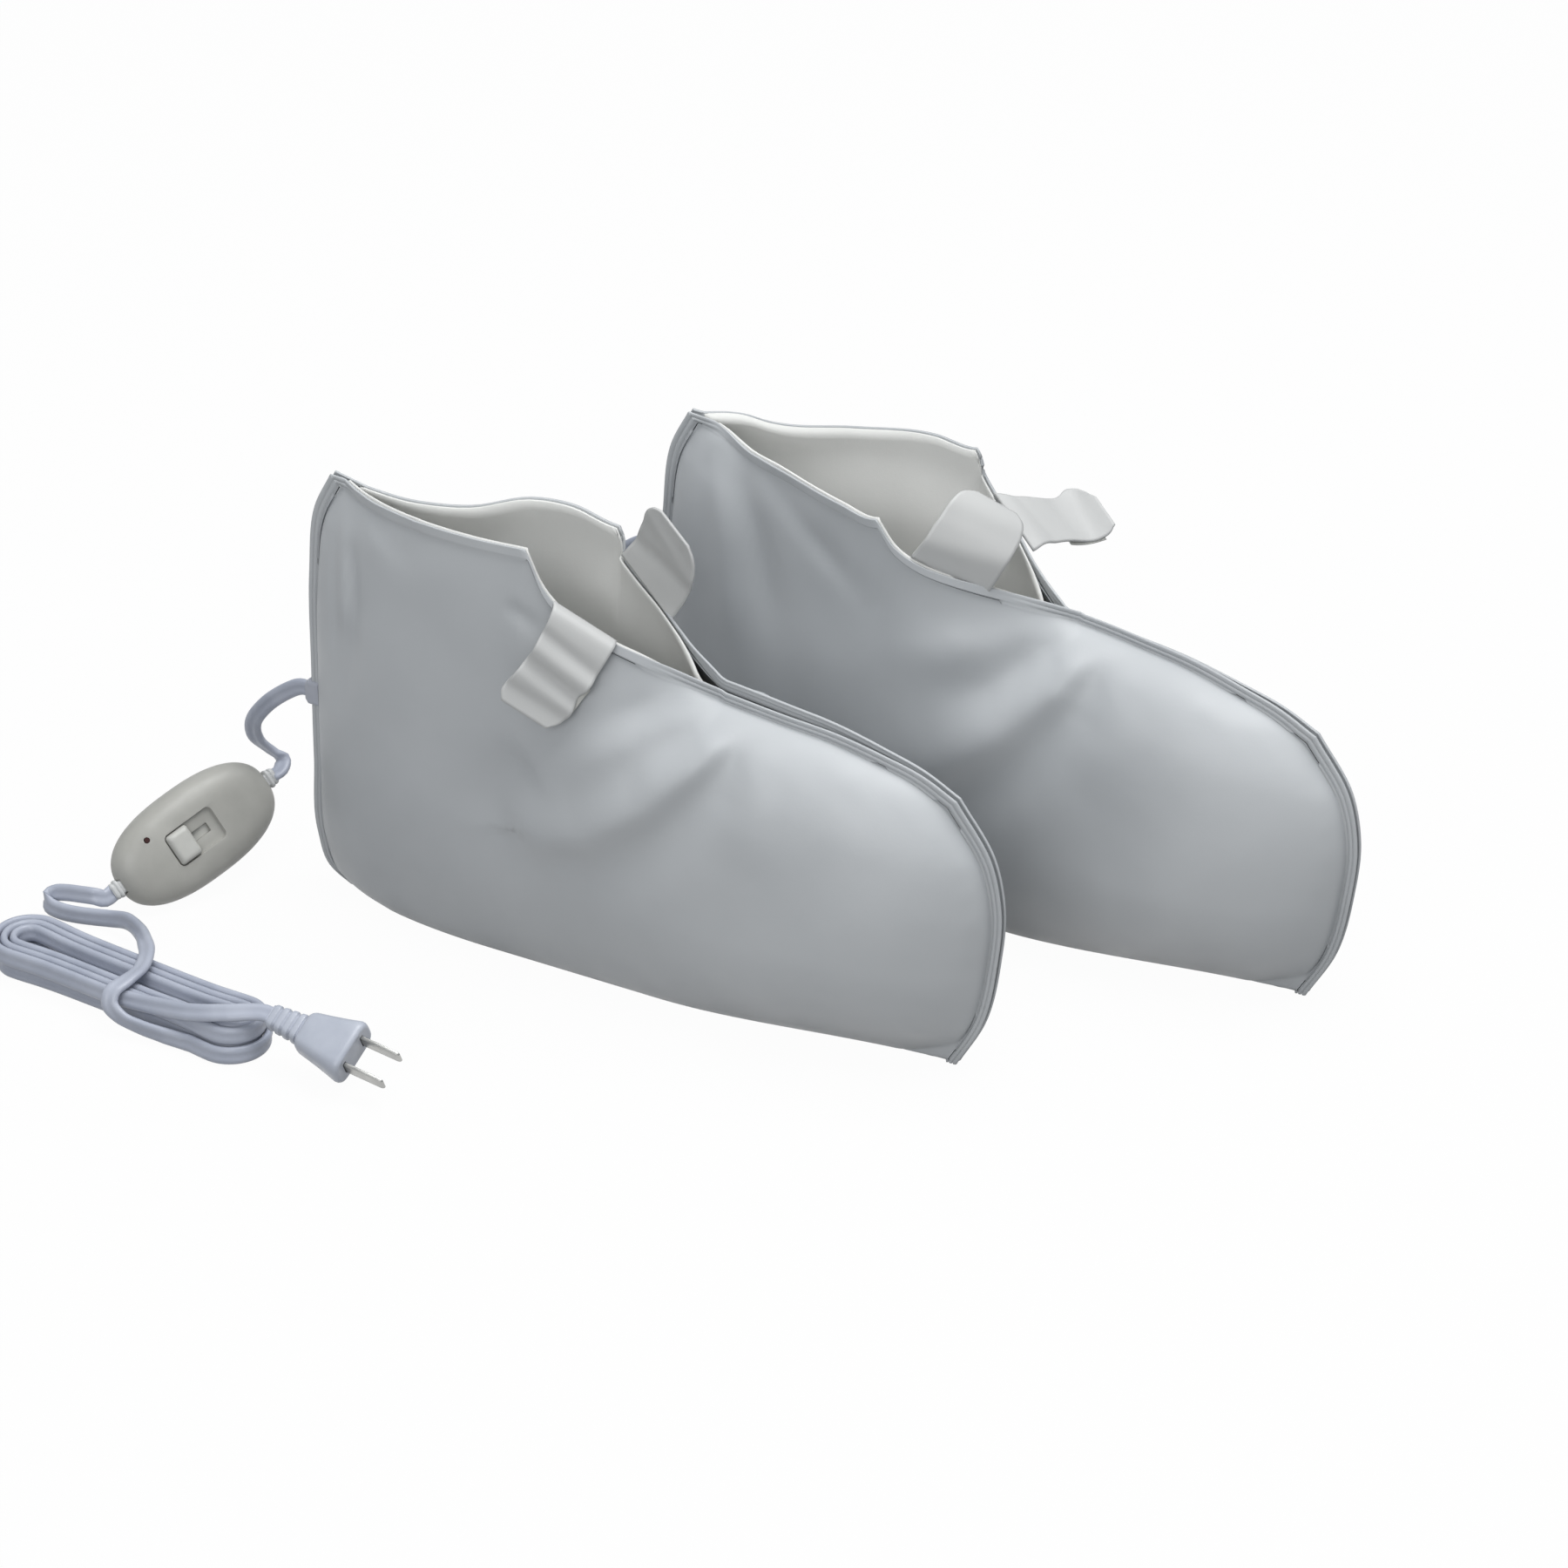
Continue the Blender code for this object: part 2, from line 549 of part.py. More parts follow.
def seam_gland(name, share, at, rubber):
    """Moulded gland that clips over the heel rim; returns the end that the lead leaves."""
    height = follow(HEEL_SHARES, share)[1]
    reach = GLAND_WIDTH / HEEL_HEIGHT / 2
    seat = min(follow(HEEL_SHARES, share + step)[0] for step in (-reach, 0.0, reach)) - FIT_GAP
    tip = seat + RIM_WIDTH - GLAND_LENGTH
    rings = []
    for back, scale in ((0.0, RELIEF_TAPER_SHARE), (GLAND_CORNER, 1.0), (GLAND_LENGTH, 1.0)):
        outline = rounded(GLAND_THICKNESS * scale, GLAND_WIDTH * scale, GLAND_CORNER)
        rings.append([(tip + back, y, up) for y, up in outline])
    gland = place(name, loft(name, rings), rubber, (at[0], at[1], height))
    slot = rectangle(2 * (SKIN_THICKNESS + FIT_GAP) + FIT_GAP, GLAND_WIDTH + 2 * CUT_OVERRUN)
    rings = [[(x, y, up) for y, up in slot] for x in (seat, tip + GLAND_LENGTH + CUT_OVERRUN)]
    tool = change(gland, name + "_slot", loft(name + "_slot", rings), "DIFFERENCE", None)
    tool.location = gland.location
    return Vector((at[0] + tip, at[1], height))


def panel_gland(name, side, out, at, rubber):
    """Moulded gland seated on the side's outer face; returns its end and its direction."""
    middles, along, upward, outward = cell_frame(side, out, LINK_GLAND_CELL, 0.0)
    base = max(middles, key=outward.dot) + outward * FIT_GAP
    rings = []
    for reach, scale in ((0.0, 1.0), (GLAND_LENGTH - RIM_WIDTH - GLAND_CORNER, 1.0),
                         (GLAND_LENGTH - RIM_WIDTH, RELIEF_TAPER_SHARE)):
        outline = rounded(GLAND_WIDTH * scale, GLAND_THICKNESS * scale, GLAND_CORNER)
        rings.append([(x, y, reach) for x, y in outline])
    mesh = loft(name, rings)
    mesh.transform(frame_matrix(base, along, upward, outward))
    place(name, mesh, rubber, at)
    return Vector(at) + base + outward * (GLAND_LENGTH - RIM_WIDTH), outward


def slit_rim(side, out, column):
    """Point in the middle of the rim's edge at a column of the grid."""
    x, z = seam_plane(column / COLUMNS, 1.0, 0.0)
    return Vector((x, side * (hem_out(column / COLUMNS, out) - SKIN_THICKNESS / 2), z))


def tab_frame(side, out):
    """Hinge line of a tab: its middle, and axes along it, up from the slit and out from the side."""
    ends = []
    for share in TAB_ROOT_SHARES:
        column = HEM_COLUMNS + share * SLIT_COLUMNS
        before = slit_rim(side, out, math.floor(column))
        after = slit_rim(side, out, math.floor(column) + 1)
        ends.append(before.lerp(after, column - math.floor(column)))
    forward = (ends[1] - ends[0]).normalized()
    outward = Vector((0.0, side, 0.0))
    outward = (outward - outward.dot(forward) * forward).normalized()
    upward = forward.cross(outward) * side
    middle = (ends[0] + ends[1]) / 2 + upward * (TAB_THICKNESS / 2 + FIT_GAP)
    return middle, forward, upward, outward


def ribbon(name, frame, shares, width_share, thickness, offset, steps):
    """Bent strip along a rest shape, a distance out from its middle face, with a round nose at its root."""
    _, forward, upward, outward = frame
    hand = 1 if upward.cross(forward).dot(outward) > 0 else -1
    line = [(upward * up + outward * out + forward * ahead) * TAB_LENGTH for up, out, ahead in shares]
    rings = []
    for step in range(steps[0], steps[1] + 1):
        before, after = line[max(step - 1, 0)], line[min(step + 1, len(line) - 1)]
        face = (after - before).cross(forward).normalized() * hand
        along = step / (len(line) - 1)
        rounding = max(along - TAB_ROUND_SHARE, 0.0) / (1 - TAB_ROUND_SHARE)
        half = TAB_WIDTH / 2 * width_share * (1 - (1 - TAB_TIP_WIDTH_SHARE) * rounding**2)
        sections = [(line[step] + face * offset, thickness)]
        if step == 0:
            back = (line[0] - line[1]).normalized() * thickness / 2
            sections.insert(0, (line[0] + back, thickness * TAB_NOSE_SHARE))
        for centre, thick in sections:
            rings.append([centre + forward * half * across + face * thick / 2 * through
                          for across, through in ((-1, 1), (1, 1), (1, -1), (-1, -1))])
    return loft(name, rings)


def tab(name, side, out, at, shares, vinyl):
    """Strap tab with its origin on its fold line."""
    frame = tab_frame(side, out)
    mesh = ribbon(name, frame, shares, 1.0, TAB_THICKNESS, 0.0, (0, len(shares) - 1))
    return place(name, mesh, vinyl, Vector(at) + frame[0])


def hook_patch(name, side, out, at, shares, hook):
    """Hook patch on the outer face of a tab."""
    frame = tab_frame(side, out)
    offset = TAB_THICKNESS / 2 + FIT_GAP + HOOK_THICKNESS / 2
    mesh = ribbon(name, frame, shares, HOOK_WIDTH_SHARE, HOOK_THICKNESS, offset, HOOK_STEPS)
    return place(name, mesh, hook, Vector(at) + frame[0])


def tube(name, points, diameter, resolution, made_of, at=(0.0, 0.0, 0.0)):
    """Round cord or wire through points, with closed ends."""
    curve = bpy.data.curves.new(name, "CURVE")
    curve.dimensions = "3D"
    curve.bevel_depth = diameter / 2
    curve.bevel_resolution = resolution
    curve.use_fill_caps = True
    spline = curve.splines.new("POLY")
    spline.points.add(len(points) - 1)
    for knot, point in zip(spline.points, points):
        knot.co = (*point, 1.0)
    return place(name, curve, made_of, at)


def smooth_route(points):
    """Evenly spaced points of a smooth curve through a route, with its first and last pieces straight."""
    line = np.array([tuple(point) for point in points])
    stations = np.concatenate([[0.0], np.cumsum(np.sqrt(np.linalg.norm(np.diff(line, axis=0), axis=1)))])
    slopes = np.gradient(line, stations, axis=0)
    fine = []
    for span in range(1, len(line) - 2):
        width = stations[span + 1] - stations[span]
        for t in np.linspace(0.0, 1.0, CORD_SAMPLES, endpoint=False):
            fine.append(hermite(t, line[span:span + 2], width * slopes[span:span + 2]))
    fine = np.array(fine + [line[-2]])
    lengths = np.concatenate([[0.0], np.cumsum(np.linalg.norm(np.diff(fine, axis=0), axis=1))])
    count = max(round(lengths[-1] / CORD_STEP), 2)
    stops = np.linspace(0.0, lengths[-1], count + 1)
    even = zip(*(np.interp(stops, lengths, fine[:, axis]) for axis in range(3)))
    return [points[0]] + [Vector(point) for point in even] + [points[-1]]


def from_heel(points):
    """Hand-placed points moved from the near heel's frame to the model's."""
    return [Vector(point) + Vector((*NEAR_BOOTIE_AT, 0.0)) for point in points]


def cord(name, start, start_way, route, end, end_way, jacket):
    """Free cord that leaves one face and meets another squarely; the ways point away from the faces."""
    points = [start + start_way * FIT_GAP, start + start_way * (FIT_GAP + CORD_DIAMETER)]
    points += from_heel(route)
    points += [end + end_way * (FIT_GAP + CORD_DIAMETER), end + end_way * FIT_GAP]
    laid = smooth_route(points)
    for point in laid:
        point.z = max(point.z, CORD_DIAMETER / 2 + CORD_FLOOR_GAP)
    return tube(name, laid, CORD_DIAMETER, CORD_RESOLUTION, jacket)


def superellipse(share, height, wall=0.0):
    """Ring of the controller's outline at a share of its size, less a wall."""
    ring = []
    for side in range(CONTROL_SIDES):
        turn = 2 * math.pi * side / CONTROL_SIDES
        power = 2 / CONTROL_CURVE
        x = math.copysign(abs(math.cos(turn)) ** power, math.cos(turn))
        y = math.copysign(abs(math.sin(turn)) ** power, math.sin(turn))
        ring.append((x * (CONTROL_LENGTH / 2 * share - wall), y * (CONTROL_WIDTH / 2 * share - wall),
                     height))
    return ring


def shell(name, outer, cavity):
    """Open shell between two lofted surfaces that share the plane of their first rings."""
    count = len(outer[0])
    points = [point for ring in outer + cavity for point in ring]
    faces = []
    for start, rings in ((0, outer), (len(outer) * count, cavity)):
        for row in range(len(rings) - 1):
            ring = [start + row * count + side for side in range(count)]
            for a, b in zip(ring, ring[1:] + ring[:1]):
                faces.append((a, b, b + count, a + count))
        last = start + (len(rings) - 1) * count
        faces.append(tuple(range(last, last + count)))
    mouth = len(outer) * count
    for side in range(count):
        turned = (side + 1) % count
        faces.append((side, turned, mouth + turned, mouth + side))
    return solid(name, points, faces)


def control_frame():
    """Empty at the controller's base, turned so that the controller's long edge rests on the floor."""
    turn = (Matrix.Rotation(CONTROL_TURN, 4, "Z") @ Matrix.Rotation(-CONTROL_PITCH, 4, "Y")
            @ Matrix.Rotation(CONTROL_ROLL, 4, "X"))
    lowest = min((turn @ Vector(point)).z for ring in keel_rings() + crown_rings() for point in ring)
    frame = bpy.data.objects.new("controller", None)
    frame.matrix_world = Matrix.Translation(from_heel([(*CONTROL_AT, -lowest)])[0]) @ turn
    bpy.context.collection.objects.link(frame)
    return frame


def crown_rings():
    """Rings of the top cover's outside, from the split up."""
    start = CONTROL_SPLIT + FIT_GAP / 2
    return [superellipse(share, start + up * (CONTROL_HEIGHT - start)) for share, up in CROWN_SHARES]


def keel_rings():
    """Rings of the bottom shell's outside, from the split down."""
    start = CONTROL_SPLIT - FIT_GAP / 2
    return [superellipse(share, start - down * start) for share, down in KEEL_SHARES]


def ceiling():
    """Height of the top cover's inner face, which leaves a full wall under the recess."""
    return CONTROL_HEIGHT - RECESS_DEPTH - CONTROL_WALL


def relief_notches(body, name, frame):
    """Gap through a shell's wall at each end for the necks of the strain reliefs."""
    for end in (-1, 1):
        outline = rectangle(RELIEF_NECK_WIDTH + 2 * FIT_GAP, RELIEF_NECK_THICKNESS + 2 * FIT_GAP)
        inside = CONTROL_LENGTH / 2 - CONTROL_WALL - CUT_OVERRUN
        rings = [[(end * reach, y, CONTROL_SPLIT + z) for y, z in outline]
                 for reach in (inside, CONTROL_LENGTH / 2 + CUT_OVERRUN)]
        label = f"{name}_notch_{'lead' if end > 0 else 'mains'}"
        change(body, label, loft(label, rings), "DIFFERENCE", frame)


def knob_rest():
    """Place along the controller of the knob's middle when it is off."""
    return KNOB_LENGTH / 2 + KNOB_CLEARANCE - RECESS_LENGTH / 2 - RECESS_SETBACK


def screw_at(end):
    """Place along the controller of the screw near one of its ends."""
    return end * (CONTROL_LENGTH / 2 - SCREW_END_SETBACK)


def board_length():
    """Length of the circuit board, which fits between the screw posts."""
    return 2 * (screw_at(1) - SCREW_POST_DIAMETER / 2 - BOARD_END_GAP)


def lens_at():
    """Place of the indicator lens, beside the screw at the mains end."""
    return screw_at(-1) + LENS_FROM_SCREW[0], LENS_FROM_SCREW[1]


def top_cover(frame, plastic):
    """Domed cover with the knob's recess and slot, the lens hole and a screw boss at each end."""
    start = CONTROL_SPLIT + FIT_GAP / 2
    cavity = [superellipse(share, start + up * (ceiling() - start), CONTROL_WALL)
              for share, up in CROWN_CAVITY_SHARES]
    body = place("controller_top_cover", shell("controller_top_cover", crown_rings(), cavity), plastic,
                 parent=frame)
    for end in (-1, 1):
        at = (screw_at(end), 0.0)
        boss = upright(f"boss_{end}", circle(SCREW_BOSS_DIAMETER), start, ceiling() + CONTROL_WALL / 2, at)
        change(body, f"boss_{end}", boss, "UNION", frame)
        bore = upright(f"boss_bore_{end}", circle(SCREW_DIAMETER + 2 * FIT_GAP), start - CUT_OVERRUN,
                       CONTROL_SPLIT + SCREW_GRIP + FIT_GAP, at)
        change(body, f"boss_bore_{end}", bore, "DIFFERENCE", frame)
    recess = upright("recess", rounded(RECESS_LENGTH, RECESS_WIDTH, RECESS_CORNER),
                     CONTROL_HEIGHT - RECESS_DEPTH, CONTROL_HEIGHT + CUT_OVERRUN, (-RECESS_SETBACK, 0.0))
    change(body, "recess", recess, "DIFFERENCE", frame)
    slot_length = KNOB_STEM_LENGTH + KNOB_TRAVEL + 2 * KNOB_CLEARANCE
    slot_width = KNOB_STEM_WIDTH + 2 * KNOB_CLEARANCE
    slot = upright("slot", rectangle(slot_length, slot_width), ceiling() - CUT_OVERRUN,
                   CONTROL_HEIGHT + CUT_OVERRUN, (knob_rest() + KNOB_TRAVEL / 2, 0.0))
    change(body, "slot", slot, "DIFFERENCE", frame)
    hole = upright("lens_hole", circle(LENS_DIAMETER + 2 * FIT_GAP), ceiling() - CUT_OVERRUN,
                   CONTROL_HEIGHT + CUT_OVERRUN, lens_at())
    change(body, "lens_hole", hole, "DIFFERENCE", frame)
    relief_notches(body, "cover", frame)
    return body


def bottom_shell(frame, plastic):
    """Shallow shell with two rests for the board and a screw post at each end."""
    start = CONTROL_SPLIT - FIT_GAP / 2
    cavity = [superellipse(share, start - down * (start - CONTROL_WALL), CONTROL_WALL)
              for share, down in KEEL_CAVITY_SHARES]
    body = place("controller_bottom_shell", shell("controller_bottom_shell", keel_rings(), cavity), plastic,
                 parent=frame)
    for end in (-1, 1):
        at = (end * (board_length() / 2 - BOARD_REST_INSET), 0.0)
        rest = upright(f"rest_{end}", rectangle(BOARD_REST_WIDTH, BOARD_WIDTH), CONTROL_WALL / 2,
                       BOARD_LIFT - FIT_GAP, at)
        change(body, f"rest_{end}", rest, "UNION", frame)
        at = (screw_at(end), 0.0)
        post = upright(f"post_{end}", circle(SCREW_POST_DIAMETER), CONTROL_WALL / 2, start, at)
        change(body, f"post_{end}", post, "UNION", frame)
        head = upright(f"head_bore_{end}", circle(SCREW_HEAD_DIAMETER + 2 * FIT_GAP), -CUT_OVERRUN,
                       SCREW_HEAD_DROP + SCREW_HEAD_HEIGHT + FIT_GAP, at)
        change(body, f"head_bore_{end}", head, "DIFFERENCE", frame)
        bore = upright(f"post_bore_{end}", circle(SCREW_DIAMETER + 2 * FIT_GAP), 0.0,
                       CONTROL_SPLIT + CUT_OVERRUN, at)
        change(body, f"post_bore_{end}", bore, "DIFFERENCE", frame)
    relief_notches(body, "shell", frame)
    return body


def screw(name, end, frame, steel):
    """Screw through the bottom shell's post into the top cover's boss."""
    under_head = SCREW_HEAD_DROP + SCREW_HEAD_HEIGHT
    profile = ((SCREW_HEAD_DIAMETER, SCREW_HEAD_DROP), (SCREW_HEAD_DIAMETER, under_head),
               (SCREW_DIAMETER, under_head), (SCREW_DIAMETER, CONTROL_SPLIT + SCREW_GRIP))
    rings = [[(screw_at(end) + x, y, z) for x, y in circle(diameter)] for diameter, z in profile]
    return place(name, loft(name, rings), steel, parent=frame)


def switch_top():
    """Height of the switch body's top."""
    return BOARD_LIFT + BOARD_THICKNESS + FIT_GAP + SWITCH_SIZE[2]


def slide_knob(frame, plastic):
    """Slide knob with a plain top and a stem that reaches down to the switch."""
    floor = CONTROL_HEIGHT - RECESS_DEPTH + FIT_GAP
    width = RECESS_WIDTH - 2 * KNOB_CLEARANCE
    top = CONTROL_HEIGHT + KNOB_STAND
    foot = switch_top() + FIT_GAP - floor
    sections = ((KNOB_STEM_LENGTH, KNOB_STEM_WIDTH, foot), (KNOB_STEM_LENGTH, KNOB_STEM_WIDTH, 0.0),
                (KNOB_LENGTH, width, 0.0), (KNOB_LENGTH, width, RECESS_DEPTH - FIT_GAP),
                (KNOB_LENGTH - KNOB_STAND, width - KNOB_STAND, top - floor))
    rings = [[(x, y, height) for x, y in rounded(long, wide, RECESS_CORNER / 2)]
             for long, wide, height in sections]
    return place("slide_knob", loft("slide_knob", rings), plastic, (knob_rest(), 0.0, floor), frame)


def block(name, size, at, frame, made_of):
    """Plain block on its base's middle."""
    mesh = upright(name, rectangle(size[0], size[1]), 0.0, size[2])
    return place(name, mesh, made_of, at, frame)


def lens(frame, clear):
    """Indicator lens in its hole in the top cover."""
    mesh = upright("indicator_lens", circle(LENS_DIAMETER), ceiling(), ceiling() + LENS_LENGTH, lens_at())
    return place("indicator_lens", mesh, clear, parent=frame)


def ribbed(start, length, width, thickness, ribs):
    """Sections (reach, width, thickness) of a ribbed sleeve that tapers to its end."""
    sections = []
    for rib in range(ribs):
        for share, scale in RIB_SHARES[1 if rib else 0:]:
            along = (rib + share) / ribs
            size = scale * (1 - (1 - RELIEF_TAPER_SHARE) * along)
            sections.append((start + along * length, width * size, thickness * size))
    return sections


def strain_relief(name, end, frame, rubber):
    """Ribbed strain relief whose neck and flange sit in the controller's end wall."""
    wall = CONTROL_LENGTH / 2
    inside = wall - CONTROL_WALL - RELIEF_FLANGE_SETBACK
    sections = [(inside - RELIEF_FLANGE, RELIEF_WIDTH, RELIEF_THICKNESS),
                (inside, RELIEF_WIDTH, RELIEF_THICKNESS),
                (inside, RELIEF_NECK_WIDTH, RELIEF_NECK_THICKNESS),
                (wall + FIT_GAP, RELIEF_NECK_WIDTH, RELIEF_NECK_THICKNESS)]
    sections += ribbed(wall + FIT_GAP, RELIEF_LENGTH, RELIEF_WIDTH, RELIEF_THICKNESS, RELIEF_RIBS)
    rings = [[(end * reach, y, CONTROL_SPLIT + z)
              for y, z in rounded(wide, thick, thick * RELIEF_CORNER_SHARE)]
             for reach, wide, thick in sections]
    place(name, loft(name, rings), rubber, parent=frame)
    tip = Vector((end * (wall + FIT_GAP + RELIEF_LENGTH), 0.0, CONTROL_SPLIT))
    turn = frame.matrix_world.to_3x3()
    return frame.matrix_world @ tip, turn @ Vector((end, 0.0, 0.0))


def hank_point(turns):
    """Point of the hanked cord's middle line in the hank's own frame, after so many turns."""
    pitch = CORD_DIAMETER + HANK_LOOP_GAP
    per_layer = HANK_LOOPS / HANK_LAYERS
    layer_at = min(int(turns / per_layer), HANK_LAYERS - 1)
    through = turns - layer_at * per_layer
    spread = per_layer - through if layer_at % 2 == 0 else through
    radius = HANK_FOLD_RADIUS + spread * pitch
    height = CORD_DIAMETER / 2 + CORD_FLOOR_GAP
    for climb in range(1, HANK_LAYERS):
        climbed = (turns - climb * per_layer) / HANK_CLIMB_SHARE + 1 / 2
        height += pitch * min(max(climbed, 0.0), 1.0)
    half_loop, part = divmod(turns % 1.0 + HANK_RUN_SHARE / 2, 1 / 2)
    way = -1 if half_loop == 1 else 1
    if part > HANK_RUN_SHARE:
        angle = math.pi * (part - HANK_RUN_SHARE) / (1 / 2 - HANK_RUN_SHARE)
        x, y = HANK_HALF_RUN + radius * math.sin(angle), -radius * math.cos(angle)
    else:
        along = 2 * part / HANK_RUN_SHARE - 1
        x, y = along * HANK_HALF_RUN, HANK_WAIST * math.cos(math.pi / 2 * along) ** 2 - radius
    return Vector((way * x, way * y, height))


def hank_frame():
    """Matrix from the hank's own frame to the model's."""
    return Matrix.Translation(from_heel([(*HANK_AT, 0.0)])[0]) @ Matrix.Rotation(HANK_TURN, 4, "Z")


def hank_ends():
    """Start and end of the hank, and the way that the cord runs there."""
    frame = hank_frame()
    way = (frame.to_3x3() @ Vector((1.0, 0.0, 0.0))).normalized()
    return frame @ hank_point(0.0), frame @ hank_point(HANK_LOOPS), way


def least_gap(points):
    """Least gap of the hank's cord to itself, measured between points along its straight pieces."""
    line = np.array([tuple(point) for point in points])
    shares = np.linspace(0.0, 1.0, CORD_SAMPLES, endpoint=False)
    fine = np.concatenate([line[:-1] + (line[1:] - line[:-1]) * share for share in shares])
    order = np.concatenate([np.arange(len(line) - 1) + share for share in shares])
    steps = np.linalg.norm(line[1:] - line[:-1], axis=1)
    lengths = np.interp(order, np.arange(len(line)), np.concatenate([[0.0], np.cumsum(steps)]))
    least = math.inf
    for point, length in zip(fine, lengths):
        apart = np.abs(lengths - length) > HANK_SAME_DIAMETERS * CORD_DIAMETER
        least = min(least, np.linalg.norm(fine[apart] - point, axis=1).min())
    return least - CORD_DIAMETER


def hank(jacket):
    """Folded mains cord: loops laid in layers, spiralling in and out and climbing along a run."""
    frame = hank_frame()
    count = HANK_LOOPS * HANK_LOOP_POINTS
    points = [frame @ hank_point(HANK_LOOPS * step / count) for step in range(count + 1)]
    print(f"least gap of the hank's cord to itself: {least_gap(points) * 1000:.2f} mm")
    return tube("mains_cord_hank", points, CORD_DIAMETER, HANK_RESOLUTION, jacket)


def plug_frame():
    """Empty on the middle of the plug's front face, with X along the blades."""
    frame = bpy.data.objects.new("plug", None)
    frame.matrix_world = (Matrix.Translation(from_heel([PLUG_AT])[0]) @ Matrix.Rotation(-PLUG_PITCH, 4, "Y")
                          @ Matrix.Rotation(PLUG_ROLL, 4, "X"))
    bpy.context.collection.objects.link(frame)
    return frame


def plug_body(frame, vinyl):
    """Moulded plug, flared to its front face, with its ribbed relief in one piece."""
    sections = [(0.0, PLUG_WIDTH - PLUG_CORNER, PLUG_THICKNESS - PLUG_CORNER),
                (-PLUG_CORNER / 2, PLUG_WIDTH, PLUG_THICKNESS),
                (-PLUG_LENGTH + PLUG_CORNER, PLUG_TAIL_WIDTH, PLUG_TAIL_THICKNESS),
                (-PLUG_LENGTH, PLUG_TAIL_WIDTH - PLUG_CORNER, PLUG_TAIL_THICKNESS - PLUG_CORNER)]
    sleeve = ribbed(PLUG_LENGTH, PLUG_RELIEF_LENGTH, PLUG_RELIEF_WIDTH, PLUG_RELIEF_THICKNESS,
                    PLUG_RELIEF_RIBS)
    sections += [(-reach, wide, thick) for reach, wide, thick in sleeve]
    rings = [[(reach, y, z) for y, z in rounded(wide, thick, min(PLUG_CORNER, thick * RELIEF_CORNER_SHARE))]
             for reach, wide, thick in sections]
    body = place("plug_body", loft("plug_body", rings), vinyl, parent=frame)
    for blade in (-1, 1):
        outline = rectangle(BLADE_THICKNESS + 2 * FIT_GAP, BLADE_WIDTH + 2 * FIT_GAP)
        rings = [[(reach, blade * BLADE_SPACING / 2 + y, z) for y, z in outline]
                 for reach in (-BLADE_ROOT - FIT_GAP, CUT_OVERRUN)]
        change(body, f"blade_slot_{blade}", loft(f"blade_slot_{blade}", rings), "DIFFERENCE", frame)
    return frame.matrix_world @ Vector((-PLUG_LENGTH - PLUG_RELIEF_LENGTH, 0.0, 0.0))


def plug_blade(name, blade, frame, brass):
    """Flat blade with a chamfered tip, seated in the plug."""
    sections = ((-BLADE_ROOT, 0.0), (BLADE_LENGTH - BLADE_CHAMFER, 0.0), (BLADE_LENGTH, 1.0))
    rings = []
    for reach, taper in sections:
        outline = rectangle(BLADE_THICKNESS * (1 - taper / 2), BLADE_WIDTH - taper * BLADE_CHAMFER)
        rings.append([(reach, blade * BLADE_SPACING / 2 + y, z) for y, z in outline])
    return place(name, loft(name, rings), brass, parent=frame)


def bootie(label, at, out, tab_shares, hook_side, materials):
    """One bootie: its two sides with all their layers, its tabs, hook patch and cut-out."""
    for side, hand in ((-1, "right"), (1, "left")):
        skin(f"{label}_{hand}_side", side, out, at, materials["vinyl"])
        pad(f"{label}_{hand}_heating_pad", side, out, at, materials["felt"])
        wire(f"{label}_{hand}_heating_wire", side, out, at, materials["wire"])
        lining(f"{label}_{hand}_lining", side, out, at, materials["fleece"])
        tab(f"{label}_{hand}_tab", side, out, at, tab_shares[hand], materials["vinyl"])
    hand = "right" if hook_side < 0 else "left"
    hook_patch(f"{label}_hook_patch", hook_side, out, at, tab_shares[hand], materials["hook"])
    cutout(f"{label}_thermal_cutout", -1, out, at, materials["dark"])


